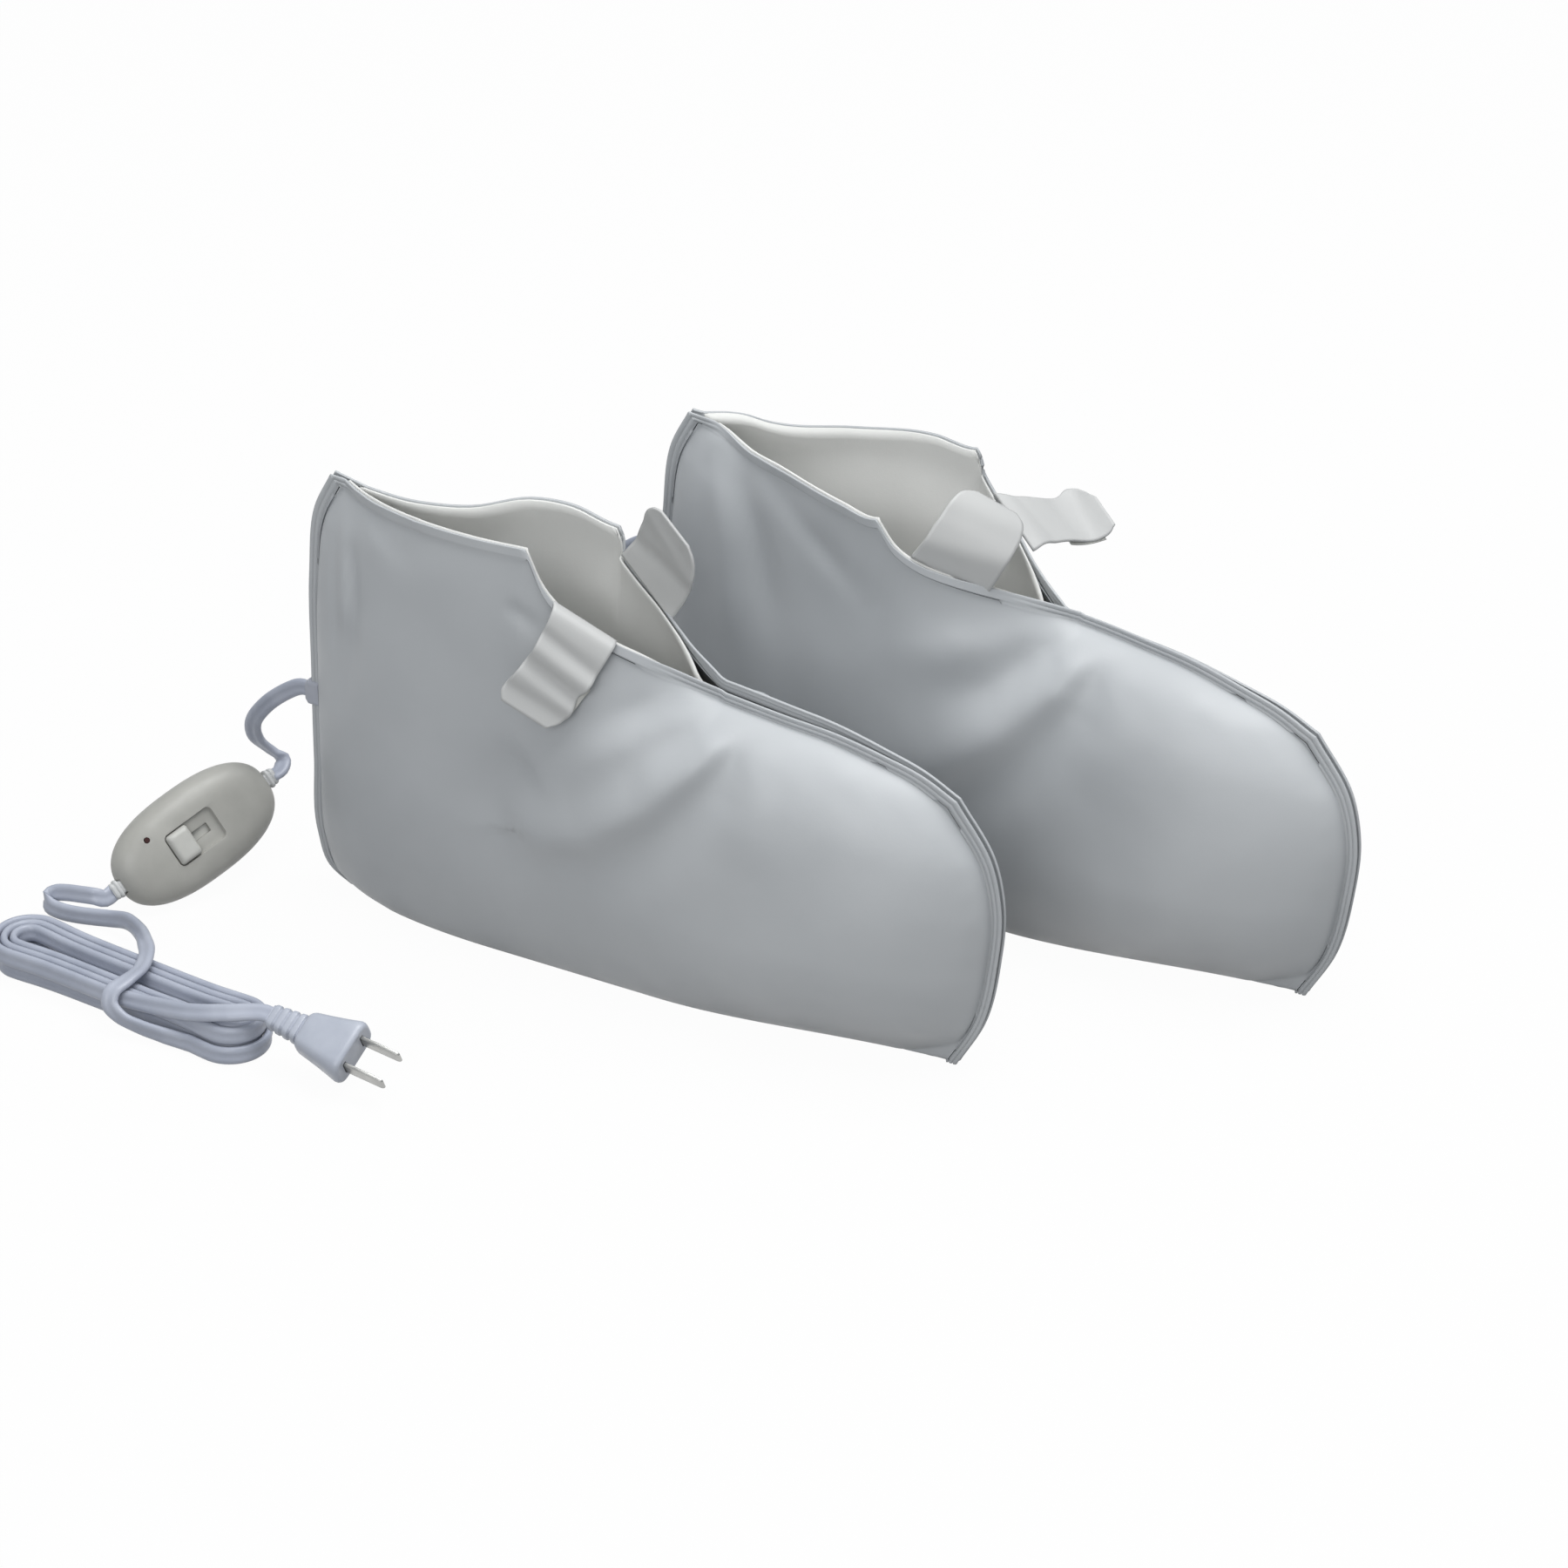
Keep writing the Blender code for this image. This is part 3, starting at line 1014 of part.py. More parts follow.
def build():
    """Whole object."""
    for thing in list(bpy.data.objects):
        bpy.data.objects.remove(thing)
    materials = {
        "vinyl": material("grey vinyl", (0.42, 0.44, 0.46), 0.45),
        "felt": material("white felt", (0.78, 0.77, 0.73), 0.95),
        "wire": material("red silicone", (0.45, 0.06, 0.04), 0.5),
        "fleece": material("grey fleece", (0.50, 0.50, 0.48), 0.95),
        "hook": material("hook tape", (0.62, 0.62, 0.60), 0.9),
        "dark": material("black plastic", (0.03, 0.03, 0.03), 0.5),
        "plastic": material("warm grey plastic", (0.36, 0.36, 0.33), 0.4),
        "knob": material("light grey plastic", (0.48, 0.48, 0.44), 0.4),
        "board": material("green board", (0.05, 0.22, 0.10), 0.5),
        "lens": material("dark lens", (0.05, 0.02, 0.02), 0.2),
        "steel": material("steel", (0.60, 0.60, 0.60), 0.35, 1.0),
        "jacket": material("grey cord jacket", (0.40, 0.43, 0.50), 0.5),
        "blade": material("nickelled brass", (0.75, 0.75, 0.73), 0.2, 1.0),
    }
    near = (*NEAR_BOOTIE_AT, 0.0)
    far = (NEAR_BOOTIE_AT[0] + FAR_BOOTIE_STEP[0], NEAR_BOOTIE_AT[1] + FAR_BOOTIE_STEP[1], 0.0)
    near_tabs = {"right": NEAR_RIGHT_TAB_SHARES, "left": NEAR_LEFT_TAB_SHARES}
    far_tabs = {"right": FAR_RIGHT_TAB_SHARES, "left": FAR_LEFT_TAB_SHARES}
    bootie("near_bootie", near, NEAR_HEM_OUT, near_tabs, -1, materials)
    bootie("far_bootie", far, FAR_HEM_OUT, far_tabs, 1, materials)
    lead_exit = seam_gland("near_bootie_lead_gland", LEAD_GLAND_SHARE, near, materials["jacket"])
    link_start, link_way = panel_gland("near_bootie_link_gland", 1, NEAR_HEM_OUT, near, materials["jacket"])
    link_end = seam_gland("far_bootie_link_gland", LINK_GLAND_SHARE, far, materials["jacket"])

    control = control_frame()
    bottom_shell(control, materials["plastic"])
    top_cover(control, materials["plastic"])
    slide_knob(control, materials["knob"])
    board = (board_length(), BOARD_WIDTH, BOARD_THICKNESS)
    block("circuit_board", board, (0.0, 0.0, BOARD_LIFT), control, materials["board"])
    seat = (-RECESS_SETBACK, 0.0, BOARD_LIFT + BOARD_THICKNESS + FIT_GAP)
    block("slide_switch", SWITCH_SIZE, seat, control, materials["dark"])
    lens(control, materials["lens"])
    screw("controller_screw_1", -1, control, materials["steel"])
    screw("controller_screw_2", 1, control, materials["steel"])
    lead_end, lead_way = strain_relief("lead_strain_relief", 1, control, materials["jacket"])
    mains_start, mains_way = strain_relief("mains_strain_relief", -1, control, materials["jacket"])

    plug = plug_frame()
    relief_end = plug_body(plug, materials["jacket"])
    plug_blade("plug_blade_1", -1, plug, materials["blade"])
    plug_blade("plug_blade_2", 1, plug, materials["blade"])
    plug_way = plug.matrix_world.to_3x3() @ Vector((-1.0, 0.0, 0.0))

    heelward = Vector((-1.0, 0.0, 0.0))
    hank_start, hank_end, hank_way = hank_ends()
    cord("lead_cord", lead_exit, heelward, LEAD_ROUTE, lead_end, lead_way, materials["jacket"])
    cord("link_cord", link_start, link_way, LINK_ROUTE, link_end, heelward, materials["jacket"])
    cord("mains_cord", mains_start, mains_way, MAINS_ROUTE, hank_start, -hank_way, materials["jacket"])
    hank(materials["jacket"])
    cord("mains_cord_tail", hank_end, hank_way, TAIL_ROUTE, relief_end, plug_way, materials["jacket"])


build()
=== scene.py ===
import math

import bmesh
import bpy
import numpy as np
from mathutils import Matrix, Vector


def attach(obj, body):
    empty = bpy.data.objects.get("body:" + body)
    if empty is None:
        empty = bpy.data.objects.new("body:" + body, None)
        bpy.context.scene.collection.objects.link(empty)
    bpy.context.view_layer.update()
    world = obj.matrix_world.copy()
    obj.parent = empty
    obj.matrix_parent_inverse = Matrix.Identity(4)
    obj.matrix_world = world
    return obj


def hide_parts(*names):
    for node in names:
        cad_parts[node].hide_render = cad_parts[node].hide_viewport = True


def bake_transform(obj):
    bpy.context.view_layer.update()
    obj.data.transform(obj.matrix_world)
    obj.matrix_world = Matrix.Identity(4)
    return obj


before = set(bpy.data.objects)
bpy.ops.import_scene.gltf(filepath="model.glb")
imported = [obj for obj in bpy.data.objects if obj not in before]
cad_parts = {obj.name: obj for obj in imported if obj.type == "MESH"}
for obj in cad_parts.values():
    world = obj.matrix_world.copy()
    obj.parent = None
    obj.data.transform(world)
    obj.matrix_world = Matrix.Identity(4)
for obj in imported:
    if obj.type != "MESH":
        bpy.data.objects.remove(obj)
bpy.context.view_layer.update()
near_heel = Vector((-0.1752, -0.0528, 0.0))
far_heel = near_heel + Vector((0.099, 0.113, 0.0))


# Camera: from over the near bootie's right side, 30 degrees above the floor, through a long lens,
# so that heel and toe are drawn almost to one scale.
def added(name, data):
    """New object in the scene for a mesh, curve, lamp or lens."""
    thing = bpy.data.objects.new(name, data)
    bpy.context.collection.objects.link(thing)
    return thing


view_way = Vector((0.4214, -0.7566, 0.5)).normalized()
looked_at = near_heel + Vector((0.13155, 0.15876, 0.0))
lens = bpy.data.cameras.new("camera")
lens.lens = 117.445
lens.sensor_width = 36.0
lens.clip_end = 20.0
camera = added("camera", lens)
camera.location = looked_at + view_way * 2.2
camera.rotation_euler = view_way.to_track_quat("Z", "Y").to_euler()
bpy.context.scene.camera = camera
bpy.context.scene.view_settings.view_transform = "Standard"


# Cords: flat two-core vinyl flex, 7.2 by 3.6 mm, bluish light grey and slightly glossy, with a groove
# along the middle of each broad face. Three pieces: the stiff lead from the controller to the near
# heel, the link between the booties, and the mains cord, folded into a hank for its whole spare length.
def put(name, points, faces, finish=None):
    """Smooth mesh piece from points and faces."""
    mesh = bpy.data.meshes.new(name)
    mesh.from_pydata([tuple(point) for point in points], [], faces)
    mesh.shade_smooth()
    if finish:
        mesh.materials.append(finish)
    return added(name, mesh)


def stand_in(piece, body, slot, *nodes):
    """Set a piece on its body, in place of the plain solids; its slot is not used."""
    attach(piece, body)
    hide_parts(*nodes)
    return piece


def patch(rows, columns, start=0, ring=False, turned=False):
    """Faces over a grid of points, closed round its columns if it is a ring."""
    faces = []
    for row in range(rows - 1):
        for column in range(columns if ring else columns - 1):
            after = (column + 1) % columns
            a, b = start + row * columns + column, start + row * columns + after
            face = (a, b, b + columns, a + columns)
            faces.append(face[::-1] if turned else face)
    return faces


def capped(rings):
    """Points and faces of a closed mesh through rings of points, capped at both ends."""
    rings = np.array(rings)
    count, sides = rings.shape[:2]
    faces = patch(count, sides, ring=True)
    faces += [tuple(range(sides - 1, -1, -1)), tuple(range((count - 1) * sides, count * sides))]
    return rings.reshape(-1, 3), faces


def read(at, places, rows):
    """Rows of a table, read in straight lines between their places."""
    return np.stack([np.interp(at, places, column) for column in np.array(rows).T], axis=-1)


def through(at, places, values):
    """Values of a smooth curve through the values given at some places."""
    slopes = np.gradient(values, places, axis=0)
    span = np.clip(np.searchsorted(places, at, side="right") - 1, 0, len(places) - 2)
    width = places[span + 1] - places[span]
    t = (at - places[span]) / width
    if values.ndim > 1:
        width, t = width[..., None], t[..., None]
    return ((2 * t**3 - 3 * t**2 + 1) * values[span] + (t**3 - 2 * t**2 + t) * width * slopes[span]
            + (3 * t**2 - 2 * t**3) * values[span + 1] + (t**3 - t**2) * width * slopes[span + 1])


def run_along(line, power=1.0):
    """Distance run at each point of a line, its steps raised to a power."""
    return np.concatenate([[0.0], np.cumsum(np.linalg.norm(np.diff(line, axis=0), axis=1) ** power)])


def smooth_line(points, step):
    """Evenly spaced points of a smooth curve through points."""
    line = np.array([tuple(point) for point in points])
    places = run_along(line, 0.5)
    fine = through(np.interp(np.arange(24 * len(line) - 23) / 24, np.arange(len(line)), places), places, line)
    run = run_along(fine)
    return read(np.linspace(0.0, run[-1], max(round(run[-1] / step), 3) + 1), run, fine)


def wired(tree, kind, out, values=(), wires=(), **modes):
    """Output of a new shader node with its modes, its set values and what is wired into it."""
    node = tree.nodes.new("ShaderNode" + kind)
    for mode, choice in modes.items():
        setattr(node, mode, choice)
    for socket, value in values:
        node.inputs[socket].default_value = value
    for socket, source in wires:
        tree.links.new(source, node.inputs[socket])
    return node.outputs[out]


def noise(tree, scale, detail=2.0, roughness=0.5, distortion=0.0):
    """Noise on object coordinates."""
    return wired(tree, "TexNoise", "Fac", (("Scale", scale), ("Detail", detail), ("Roughness", roughness),
                                           ("Distortion", distortion)),
                 (("Vector", tree.nodes["Texture Coordinate"].outputs["Object"]),))


def spread(tree, value, low, high):
    """Value spread from a noise's middle range to low and high."""
    return wired(tree, "MapRange", "Result", (("From Min", 0.3), ("From Max", 0.7), ("To Min", low),
                                              ("To Max", high)), (("Value", value),))


def finish_of(name, low, high, rough, mottle, grain, depth, metallic=0.0, sheen=0.0, coat=0.0):
    """Material with mottled colour, uneven gloss and a fine grain."""
    made = bpy.data.materials.new(name)
    made.use_nodes = True
    tree = made.node_tree
    tree.nodes.new("ShaderNodeTexCoord")
    blotch = spread(tree, noise(tree, mottle, 3.0), 0.0, 1.0)
    colour = wired(tree, "Mix", "Result", (("A", (*low, 1.0)), ("B", (*high, 1.0))), (("Factor", blotch),),
                   data_type="RGBA")
    gloss = spread(tree, noise(tree, mottle * 3.7), *rough)
    relief = wired(tree, "Bump", "Normal", (("Strength", 0.5), ("Distance", depth)),
                   (("Height", noise(tree, grain, 2.0, 0.6)),))
    sockets = tree.nodes["Principled BSDF"].inputs
    for socket, source in (("Base Color", colour), ("Roughness", gloss), ("Normal", relief)):
        tree.links.new(source, sockets[socket])
    for socket, value in (("Metallic", metallic), ("Sheen Weight", sheen), ("Coat Weight", coat),
                          ("Coat Roughness", 0.25)):
        sockets[socket].default_value = value
    return made


cord_vinyl = finish_of("cord vinyl", (0.37, 0.4, 0.48), (0.45, 0.48, 0.56), (0.3, 0.42), 60.0, 2600.0,
                       0.00006)
cord_width, cord_thickness = 0.0072, 0.0036


def flex(name, line, flats, *nodes):
    """Flat two-core flex along a line; flats gives its broad direction at shares of its length."""
    ways = np.gradient(line, axis=0)
    ways /= np.linalg.norm(ways, axis=1)[:, None]
    run = run_along(line)
    broad = read(run / run[-1], [share for share, _ in flats], [tuple(way) for _, way in flats])
    broad -= (broad * ways).sum(axis=1)[:, None] * ways
    broad /= np.linalg.norm(broad, axis=1)[:, None]
    thick = np.cross(ways, broad)
    turns = np.linspace(0.0, 2 * math.pi, 24, endpoint=False)
    across = cord_width / 2 * np.cos(turns)
    groove = 1.0 - 0.3 * np.exp(-(across / (0.16 * cord_width)) ** 2)
    up = cord_thickness / 2 * np.sign(np.sin(turns)) * np.abs(np.sin(turns)) ** 0.75 * groove
    rings = (line[:, None, :] + across[None, :, None] * broad[:, None, :]
             + up[None, :, None] * thick[:, None, :])
    lift = np.maximum(0.0002 - rings[:, :, 2].min(axis=1), 0.0)
    for _ in range(6):
        lift = np.maximum(lift, np.convolve(np.pad(lift, 2, "edge"), np.ones(5) / 5, "valid"))
    rings[:, :, 2] += lift[:, None]
    piece = stand_in(put(name, *capped(rings), cord_vinyl), "booties", "cord_vinyl", *nodes)
    return piece, line + lift[:, None] * np.array([0.0, 0.0, 1.0])


def from_heel(*points):
    """Points moved from the near heel's frame to the model's."""
    return [Vector(point) + near_heel for point in points]


def leaving(hole, way, inside=0.001):
    """First points of a flex: inside its gland or relief, and straight out of it."""
    return [hole - way * inside, hole + way * cord_thickness]


turn = (Matrix.Rotation(math.radians(69.5), 3, "Z") @ Matrix.Rotation(math.radians(-17.0), 3, "Y")
        @ Matrix.Rotation(math.radians(58.0), 3, "X"))
control_at = Vector((-0.2232, -0.0808, 0.019426))
control_along, control_up = turn @ Vector((1.0, 0.0, 0.0)), turn @ Vector((0.0, 1.0, 0.0))
split, relief_reach = 0.0078, 0.0433
back, aside, upward = Vector((-1.0, 0.0, 0.0)), Vector((0.0, 1.0, 0.0)), Vector((0.0, 0.0, 1.0))

lead_start = near_heel + Vector((-0.0026, 0.0, 0.0875))
lead_end = control_at + turn @ Vector((relief_reach, 0.0, split))
lead_line = smooth_line(
    leaving(lead_start, back)
    + from_heel((-0.014, 0.0003, 0.083), (-0.025, 0.001, 0.0735), (-0.0335, 0.003, 0.062),
                (-0.036, 0.008, 0.051), (-0.033, 0.0135, 0.0435), (-0.0285, 0.015, 0.0398))
    + leaving(lead_end, control_along)[::-1], 0.0015)
lead, lead_path = flex("lead_flex", lead_line, ((0.0, upward), (0.3, (-0.78, -0.04, 0.61)),
                                                (0.65, (-0.85, -0.4, 0.3)), (1.0, (-0.94, 0.36, -0.04))),
                       "lead_cord")

link_start, link_end = Vector((-0.1315, -0.0237, 0.0966)), Vector((-0.0782, 0.0602, 0.1284))
link_line = smooth_line(
    leaving(link_start, aside)
    + from_heel((0.037, 0.056, 0.1), (0.039, 0.068, 0.085), (0.046, 0.084, 0.074), (0.056, 0.098, 0.078),
                (0.066, 0.108, 0.096), (0.076, 0.1125, 0.116))
    + leaving(link_end, back)[::-1], 0.002)
link, link_path = flex("link_flex", link_line, ((0.0, (1.0, 0.0, 0.3)), (0.4, (0.9, 0.0, 0.4)),
                                                (1.0, (0.0, 0.2, 1.0))), "link_cord")

hank_frame = (Matrix.Translation(near_heel + Vector((-0.011, -0.122, 0.0)))
              @ Matrix.Rotation(math.radians(-5.0), 4, "Z"))
half_run = 0.053


def hank_point(turns):
    """Middle line of the hank after so many turns: two layers of three loops, the flex on its edge."""
    layer = min(int(turns / 3), 1)
    spread_out = 3 - turns if layer == 0 else turns - 3
    radius = 0.0034 + spread_out * (cord_thickness + 0.00022)
    climbed = min(max((turns - 3) / 0.5 + 0.5, 0.0), 1.0)
    height = cord_width / 2 + 0.0002 + climbed * (cord_width + 0.0004)
    half_loop, part = divmod(turns % 1.0 + 0.125, 0.5)
    way = -1 if half_loop == 1 else 1
    if part > 0.25:
        angle = math.pi * (part - 0.25) / 0.25
        x, y = half_run + radius * math.sin(angle), -radius * math.cos(angle)
    else:
        along = 8 * part - 1
        x, y = along * half_run, 0.0016 * math.cos(math.pi / 2 * abs(along) ** 3) ** 2 - radius
    return hank_frame @ Vector((way * x, way * y, height))


mains_start = control_at + turn @ Vector((-relief_reach, 0.0, split))
free_line = smooth_line(leaving(mains_start, -control_along) + from_heel(
    (-0.061, -0.0762, 0.0112), (-0.068, -0.077, 0.0106), (-0.074, -0.0774, 0.0098),
    (-0.0795, -0.0784, 0.0086), (-0.0818, -0.0808, 0.007), (-0.0795, -0.0832, 0.0054),
    (-0.0735, -0.0834, 0.0043),
    (-0.0665, -0.0822, 0.004), (-0.059, -0.0805, 0.0042), (-0.051, -0.0795, 0.0052),
    (-0.042, -0.0812, 0.0078), (-0.028, -0.091, 0.012), (-0.0182, -0.1013, 0.016), (-0.0106, -0.1102, 0.018),
    (-0.0055, -0.1217, 0.0181), (-0.0055, -0.132, 0.018), (-0.0072, -0.139, 0.0162),
    (-0.0065, -0.1418, 0.012), (-0.0015, -0.142, 0.0078), (0.007, -0.1412, 0.0054), (0.018, -0.1402, 0.0042)),
    0.0015)
hank_from, hank_to, hank_steps = 0.1, 6.0, 700
hank_line = np.array([hank_point(hank_from + (hank_to - hank_from) * place / hank_steps)
                      for place in range(hank_steps + 1)])
plug_at = near_heel + Vector((0.101, -0.1292, 0.0155))
plug_turn = Matrix.Rotation(math.radians(8.0), 3, "Y") @ Matrix.Rotation(math.radians(30.0), 3, "X")
tail_end = leaving(plug_at + plug_turn @ Vector((-0.039, 0.0, 0.0)), plug_turn @ back, 0.002)[::-1]
tail_line = smooth_line([Vector(hank_line[-1])] + from_heel(
    (0.011, -0.135, 0.013), (0.0289, -0.1366, 0.0165), (0.0451, -0.1347, 0.0202)) + tail_end, 0.0015)
mains_line = np.concatenate([free_line, hank_line, tail_line[1:]])
mains_run = run_along(mains_line)
mains_length = float(mains_run[-1])
free_share = float(mains_run[len(free_line)] / mains_length)
tail_share = float(mains_run[len(free_line) + hank_steps] / mains_length)
leaning_up = (0.02, 0.24, 0.97)
free_flats = ((0.0, control_up), (0.07, (-0.3, 0.35, 0.9)), (0.14, (0.0, 0.3, 0.95)),
              (0.42, (0.0, 0.3, 0.95)), (0.6, (0.3, 0.9, 0.4)), (0.74, (0.9, 0.45, 0.1)),
              (0.84, (0.95, 0.0, 0.1)), (0.91, (0.8, 0.0, 0.6)), (1.0, leaning_up))
mains_flats = [(share * free_share, way) for share, way in free_flats]
mains_flats += [(tail_share, leaning_up), (1.0, plug_turn @ aside)]
mains, mains_path = flex("mains_flex", mains_line, mains_flats, "mains_cord", "mains_cord_hank",
                         "mains_cord_tail")


# Floor and light: plain white floor and surroundings, a broad soft lamp high over the toes and another
# low in front of the booties, both weak enough that pale vinyl keeps its shading.
def seen_white(tree, second_ray, most, lit, white, end):
    """Show white to the camera and to a second kind of ray, and the lit surface to the others."""
    rays = tree.nodes.new("ShaderNodeLightPath")
    kinds = ((0, rays.outputs["Is Camera Ray"]), (1, rays.outputs[second_ray]))
    seen = wired(tree, "Math", "Value", (), kinds, operation="MAXIMUM")
    share = wired(tree, "Math", "Value", ((1, most),), ((0, seen),), operation="MULTIPLY")
    mixed = wired(tree, "MixShader", "Shader", (), (("Fac", share), (1, lit), (2, white)))
    tree.links.new(mixed, tree.nodes[end].inputs["Surface"])


pure_white = (1.0, 1.0, 1.0, 1.0)
floor_white = bpy.data.materials.new("white floor")
floor_white.use_nodes = True
tree = floor_white.node_tree
paint = tree.nodes["Principled BSDF"]
paint.inputs["Base Color"].default_value = (0.3, 0.3, 0.3, 1.0)
paint.inputs["Roughness"].default_value = 0.9
paint.inputs["Specular IOR Level"].default_value = 0.1
glow = wired(tree, "Emission", "Emission", (("Color", pure_white), ("Strength", 1.04)))
seen_white(tree, "Is Glossy Ray", 0.93, paint.outputs["BSDF"], glow, "Material Output")
floor = put("floor", [(30 * x, 30 * y, -0.0004) for x, y in ((-1, -1), (1, -1), (1, 1), (-1, 1))],
            [(0, 1, 2, 3)], floor_white)

world = bpy.data.worlds.new("surroundings")
bpy.context.scene.world = world
world.use_nodes = True
tree = world.node_tree
sky = tree.nodes["Background"]
sky.inputs["Color"].default_value = (0.93, 0.965, 1.0, 1.0)
sky.inputs["Strength"].default_value = 0.4
plain = wired(tree, "Background", "Background", (("Color", pure_white), ("Strength", 1.0)))
seen_white(tree, "Is Transmission Ray", 1.0, sky.outputs["Background"], plain, "World Output")


def lamp(name, at, size, power):
    """Square area lamp turned to the middle of the booties."""
    light = bpy.data.lights.new(name, "AREA")
    light.size = size
    light.energy = power
    thing = added(name, light)
    thing.location = at
    thing.rotation_euler = (Vector(at) - Vector((-0.02, 0.0, 0.08))).to_track_quat("Z", "Y").to_euler()


lamp("top lamp", (0.3, 0.15, 2.0), 1.4, 34.0)
lamp("front lamp", (0.4, -2.2, 1.3), 1.2, 15.0)


# Bootie sides: the four vinyl panels, one on each side of each foot, cut flat, formed by the foot and
# welded together round heel, toe and instep by a narrow flat rim with two weld lines. Soft satin sheet,
# 1 mm thick, cool light grey with a fine grain; it falls in a few large folds that run from the low end
# of the slit, and puckers a little along the welds.
def roughen(finish, strength, distance, *pattern):
    """Lay a further relief, in a noise pattern, over a finish's grain."""
    tree = finish.node_tree
    normal = tree.nodes["Principled BSDF"].inputs["Normal"]
    over = wired(tree, "Bump", "Normal", (("Strength", strength), ("Distance", distance)),
                 (("Height", noise(tree, *pattern)), ("Normal", normal.links[0].from_socket)))
    tree.links.new(over, normal)


vinyl = finish_of("grey vinyl", (0.465, 0.485, 0.502), (0.55, 0.57, 0.586), (0.42, 0.56), 9.0, 1900.0,
                  0.00005)
roughen(vinyl, 0.12, 0.004, 26.0, 2.0, 0.45, 0.4)
roughen(vinyl, 0.05, 0.0012, 85.0, 4.0, 0.6, 1.2)

bootie_size = (0.316, 0.19)
heel_shares = ((0.052, 0.0), (0.014, 0.04), (0.0, 0.115), (0.0, 0.3), (0.003, 0.52), (0.008, 0.76),
               (0.022, 0.92), (0.047, 1.0))
hem_shares = ((0.047, 1.0), (0.11, 0.99), (0.2, 0.988), (0.3, 0.998), (0.38, 1.01))
slit_shares = ((0.38, 1.01), (0.404, 0.937), (0.437, 0.885), (0.497, 0.826), (0.555, 0.778), (0.618, 0.735))
instep_shares = ((0.618, 0.735), (0.7, 0.72), (0.775, 0.708), (0.835, 0.688), (0.89, 0.664), (0.937, 0.626))
toe_shares = ((0.941, 0.0), (0.978, 0.12), (0.996, 0.27), (1.0, 0.4), (0.986, 0.505), (0.937, 0.626))
bulge_shares = ((0.0, 0.82), (0.18, 0.86), (0.38, 0.93), (0.58, 1.0), (0.78, 1.0), (1.0, 0.92))
hem_out_shares = ((0.0, 0.0), (0.2, 0.38), (0.45, 0.68), (0.75, 0.91), (1.0, 1.0))
slit_out_shares = ((0.0, 1.0), (0.25, 0.98), (0.5, 0.76), (0.78, 0.34), (1.0, 0.0))
slit_top, slit_low = 0.35, 0.6
skin_gap, skin_thick, rim_width, rim_share = 0.00015, 0.001, 0.004, 0.055


def spans(*parts):
    """Places in steps between marks; a part is (start, end, steps, ease), eased at its start or end."""
    out = [0.0]
    for start, end, steps, ease in parts:
        t = np.arange(1, steps + 1) / steps
        t = {"start": 1 - np.cos(math.pi / 2 * t), "end": np.sin(math.pi / 2 * t), "": t}[ease]
        out += list(start + (end - start) * t)
    return np.array(out)


columns_at = spans((0.0, 0.26, 34, "start"), (0.26, 0.35, 12, ""), (0.35, 0.6, 40, ""), (0.6, 0.74, 16, ""),
                   (0.74, 1.0, 36, "end"))
rows_at = spans((0.0, rim_share, 5, ""), (rim_share, 0.433, 34, ""), (0.433, 1.0, 50, "end"))


def outline(shares, along):
    """Points (x, z) of a smooth curve through a table of outline shares, by share of its length."""
    points = np.array(shares) * bootie_size
    run = run_along(points)
    return through(along, run / run[-1], points)


def smooth_read(shares, at):
    """Values of a smooth curve through a table of (place, value) shares."""
    places, values = np.array(shares).T
    return through(np.clip(at, places[0], places[-1]), places, values)


def step(value, start, end):
    """Smooth step from 0 at start to 1 at end."""
    t = np.clip((value - start) / (end - start), 0.0, 1.0)
    return t * t * (3 - 2 * t)


def shut(u):
    """0 where the top edge is open, 1 where it is welded."""
    return step(u, slit_low - 0.1, slit_low)


def from_ends(u):
    """Share from the nearer of the heel and the toe."""
    return np.minimum(u, 1 - u)


def seam_plane(u, v, inset):
    """Places (x, z) of a side at shares u along it and v up it, moved in from the outline."""
    inner = 1 - step(from_ends(u), 0.0, 0.08)
    v = v * inner + np.maximum((v - rim_share) / (1 - rim_share), 0.0) * (1 - inner)
    heel, toe = outline(heel_shares, v), outline(toe_shares, v)
    (foot, back_top), (tip, front_top) = (outline(shares, np.array([0.0, 1.0]))
                                          for shares in (heel_shares, toe_shares))
    over = np.where((u <= slit_top)[..., None], outline(hem_shares, np.clip(u / slit_top, 0, 1)),
                    np.where((u <= slit_low)[..., None],
                             outline(slit_shares, np.clip((u - slit_top) / (slit_low - slit_top), 0, 1)),
                             outline(instep_shares, np.clip((u - slit_low) / (1 - slit_low), 0, 1))))
    u_, v_ = u[..., None], v[..., None]
    low = foot * (1 - u_) + tip * u_
    corners = (foot * (1 - u_) * (1 - v_) + tip * u_ * (1 - v_) + back_top * (1 - u_) * v_
               + front_top * u_ * v_)
    x, z = np.moveaxis(low * (1 - v_) + over * v_ + heel * (1 - u_) + toe * u_ - corners, -1, 0)
    rim_part = np.minimum(inset, rim_width)
    lift = inset - rim_part
    beside_slit = v**4 * step(u, 0.26, slit_top) * (1 - shut(u))
    x = x + (rim_part + lift * (1 - beside_slit)) * (1 - 2 * u)
    return x, z + lift * (1 - v) - (rim_part + lift * shut(u)) * v


def hem_out(u, mouth):
    """How far the top edge stands out from the seam plane."""
    out, hem_table = mouth[:2]
    hem = smooth_read(hem_table, u / slit_top)
    slit = smooth_read(slit_out_shares, (u - slit_top) / (slit_low - slit_top))
    return out * np.where(u <= slit_top, hem, np.where(u < slit_low, np.maximum(slit, 0.0), 0.0))


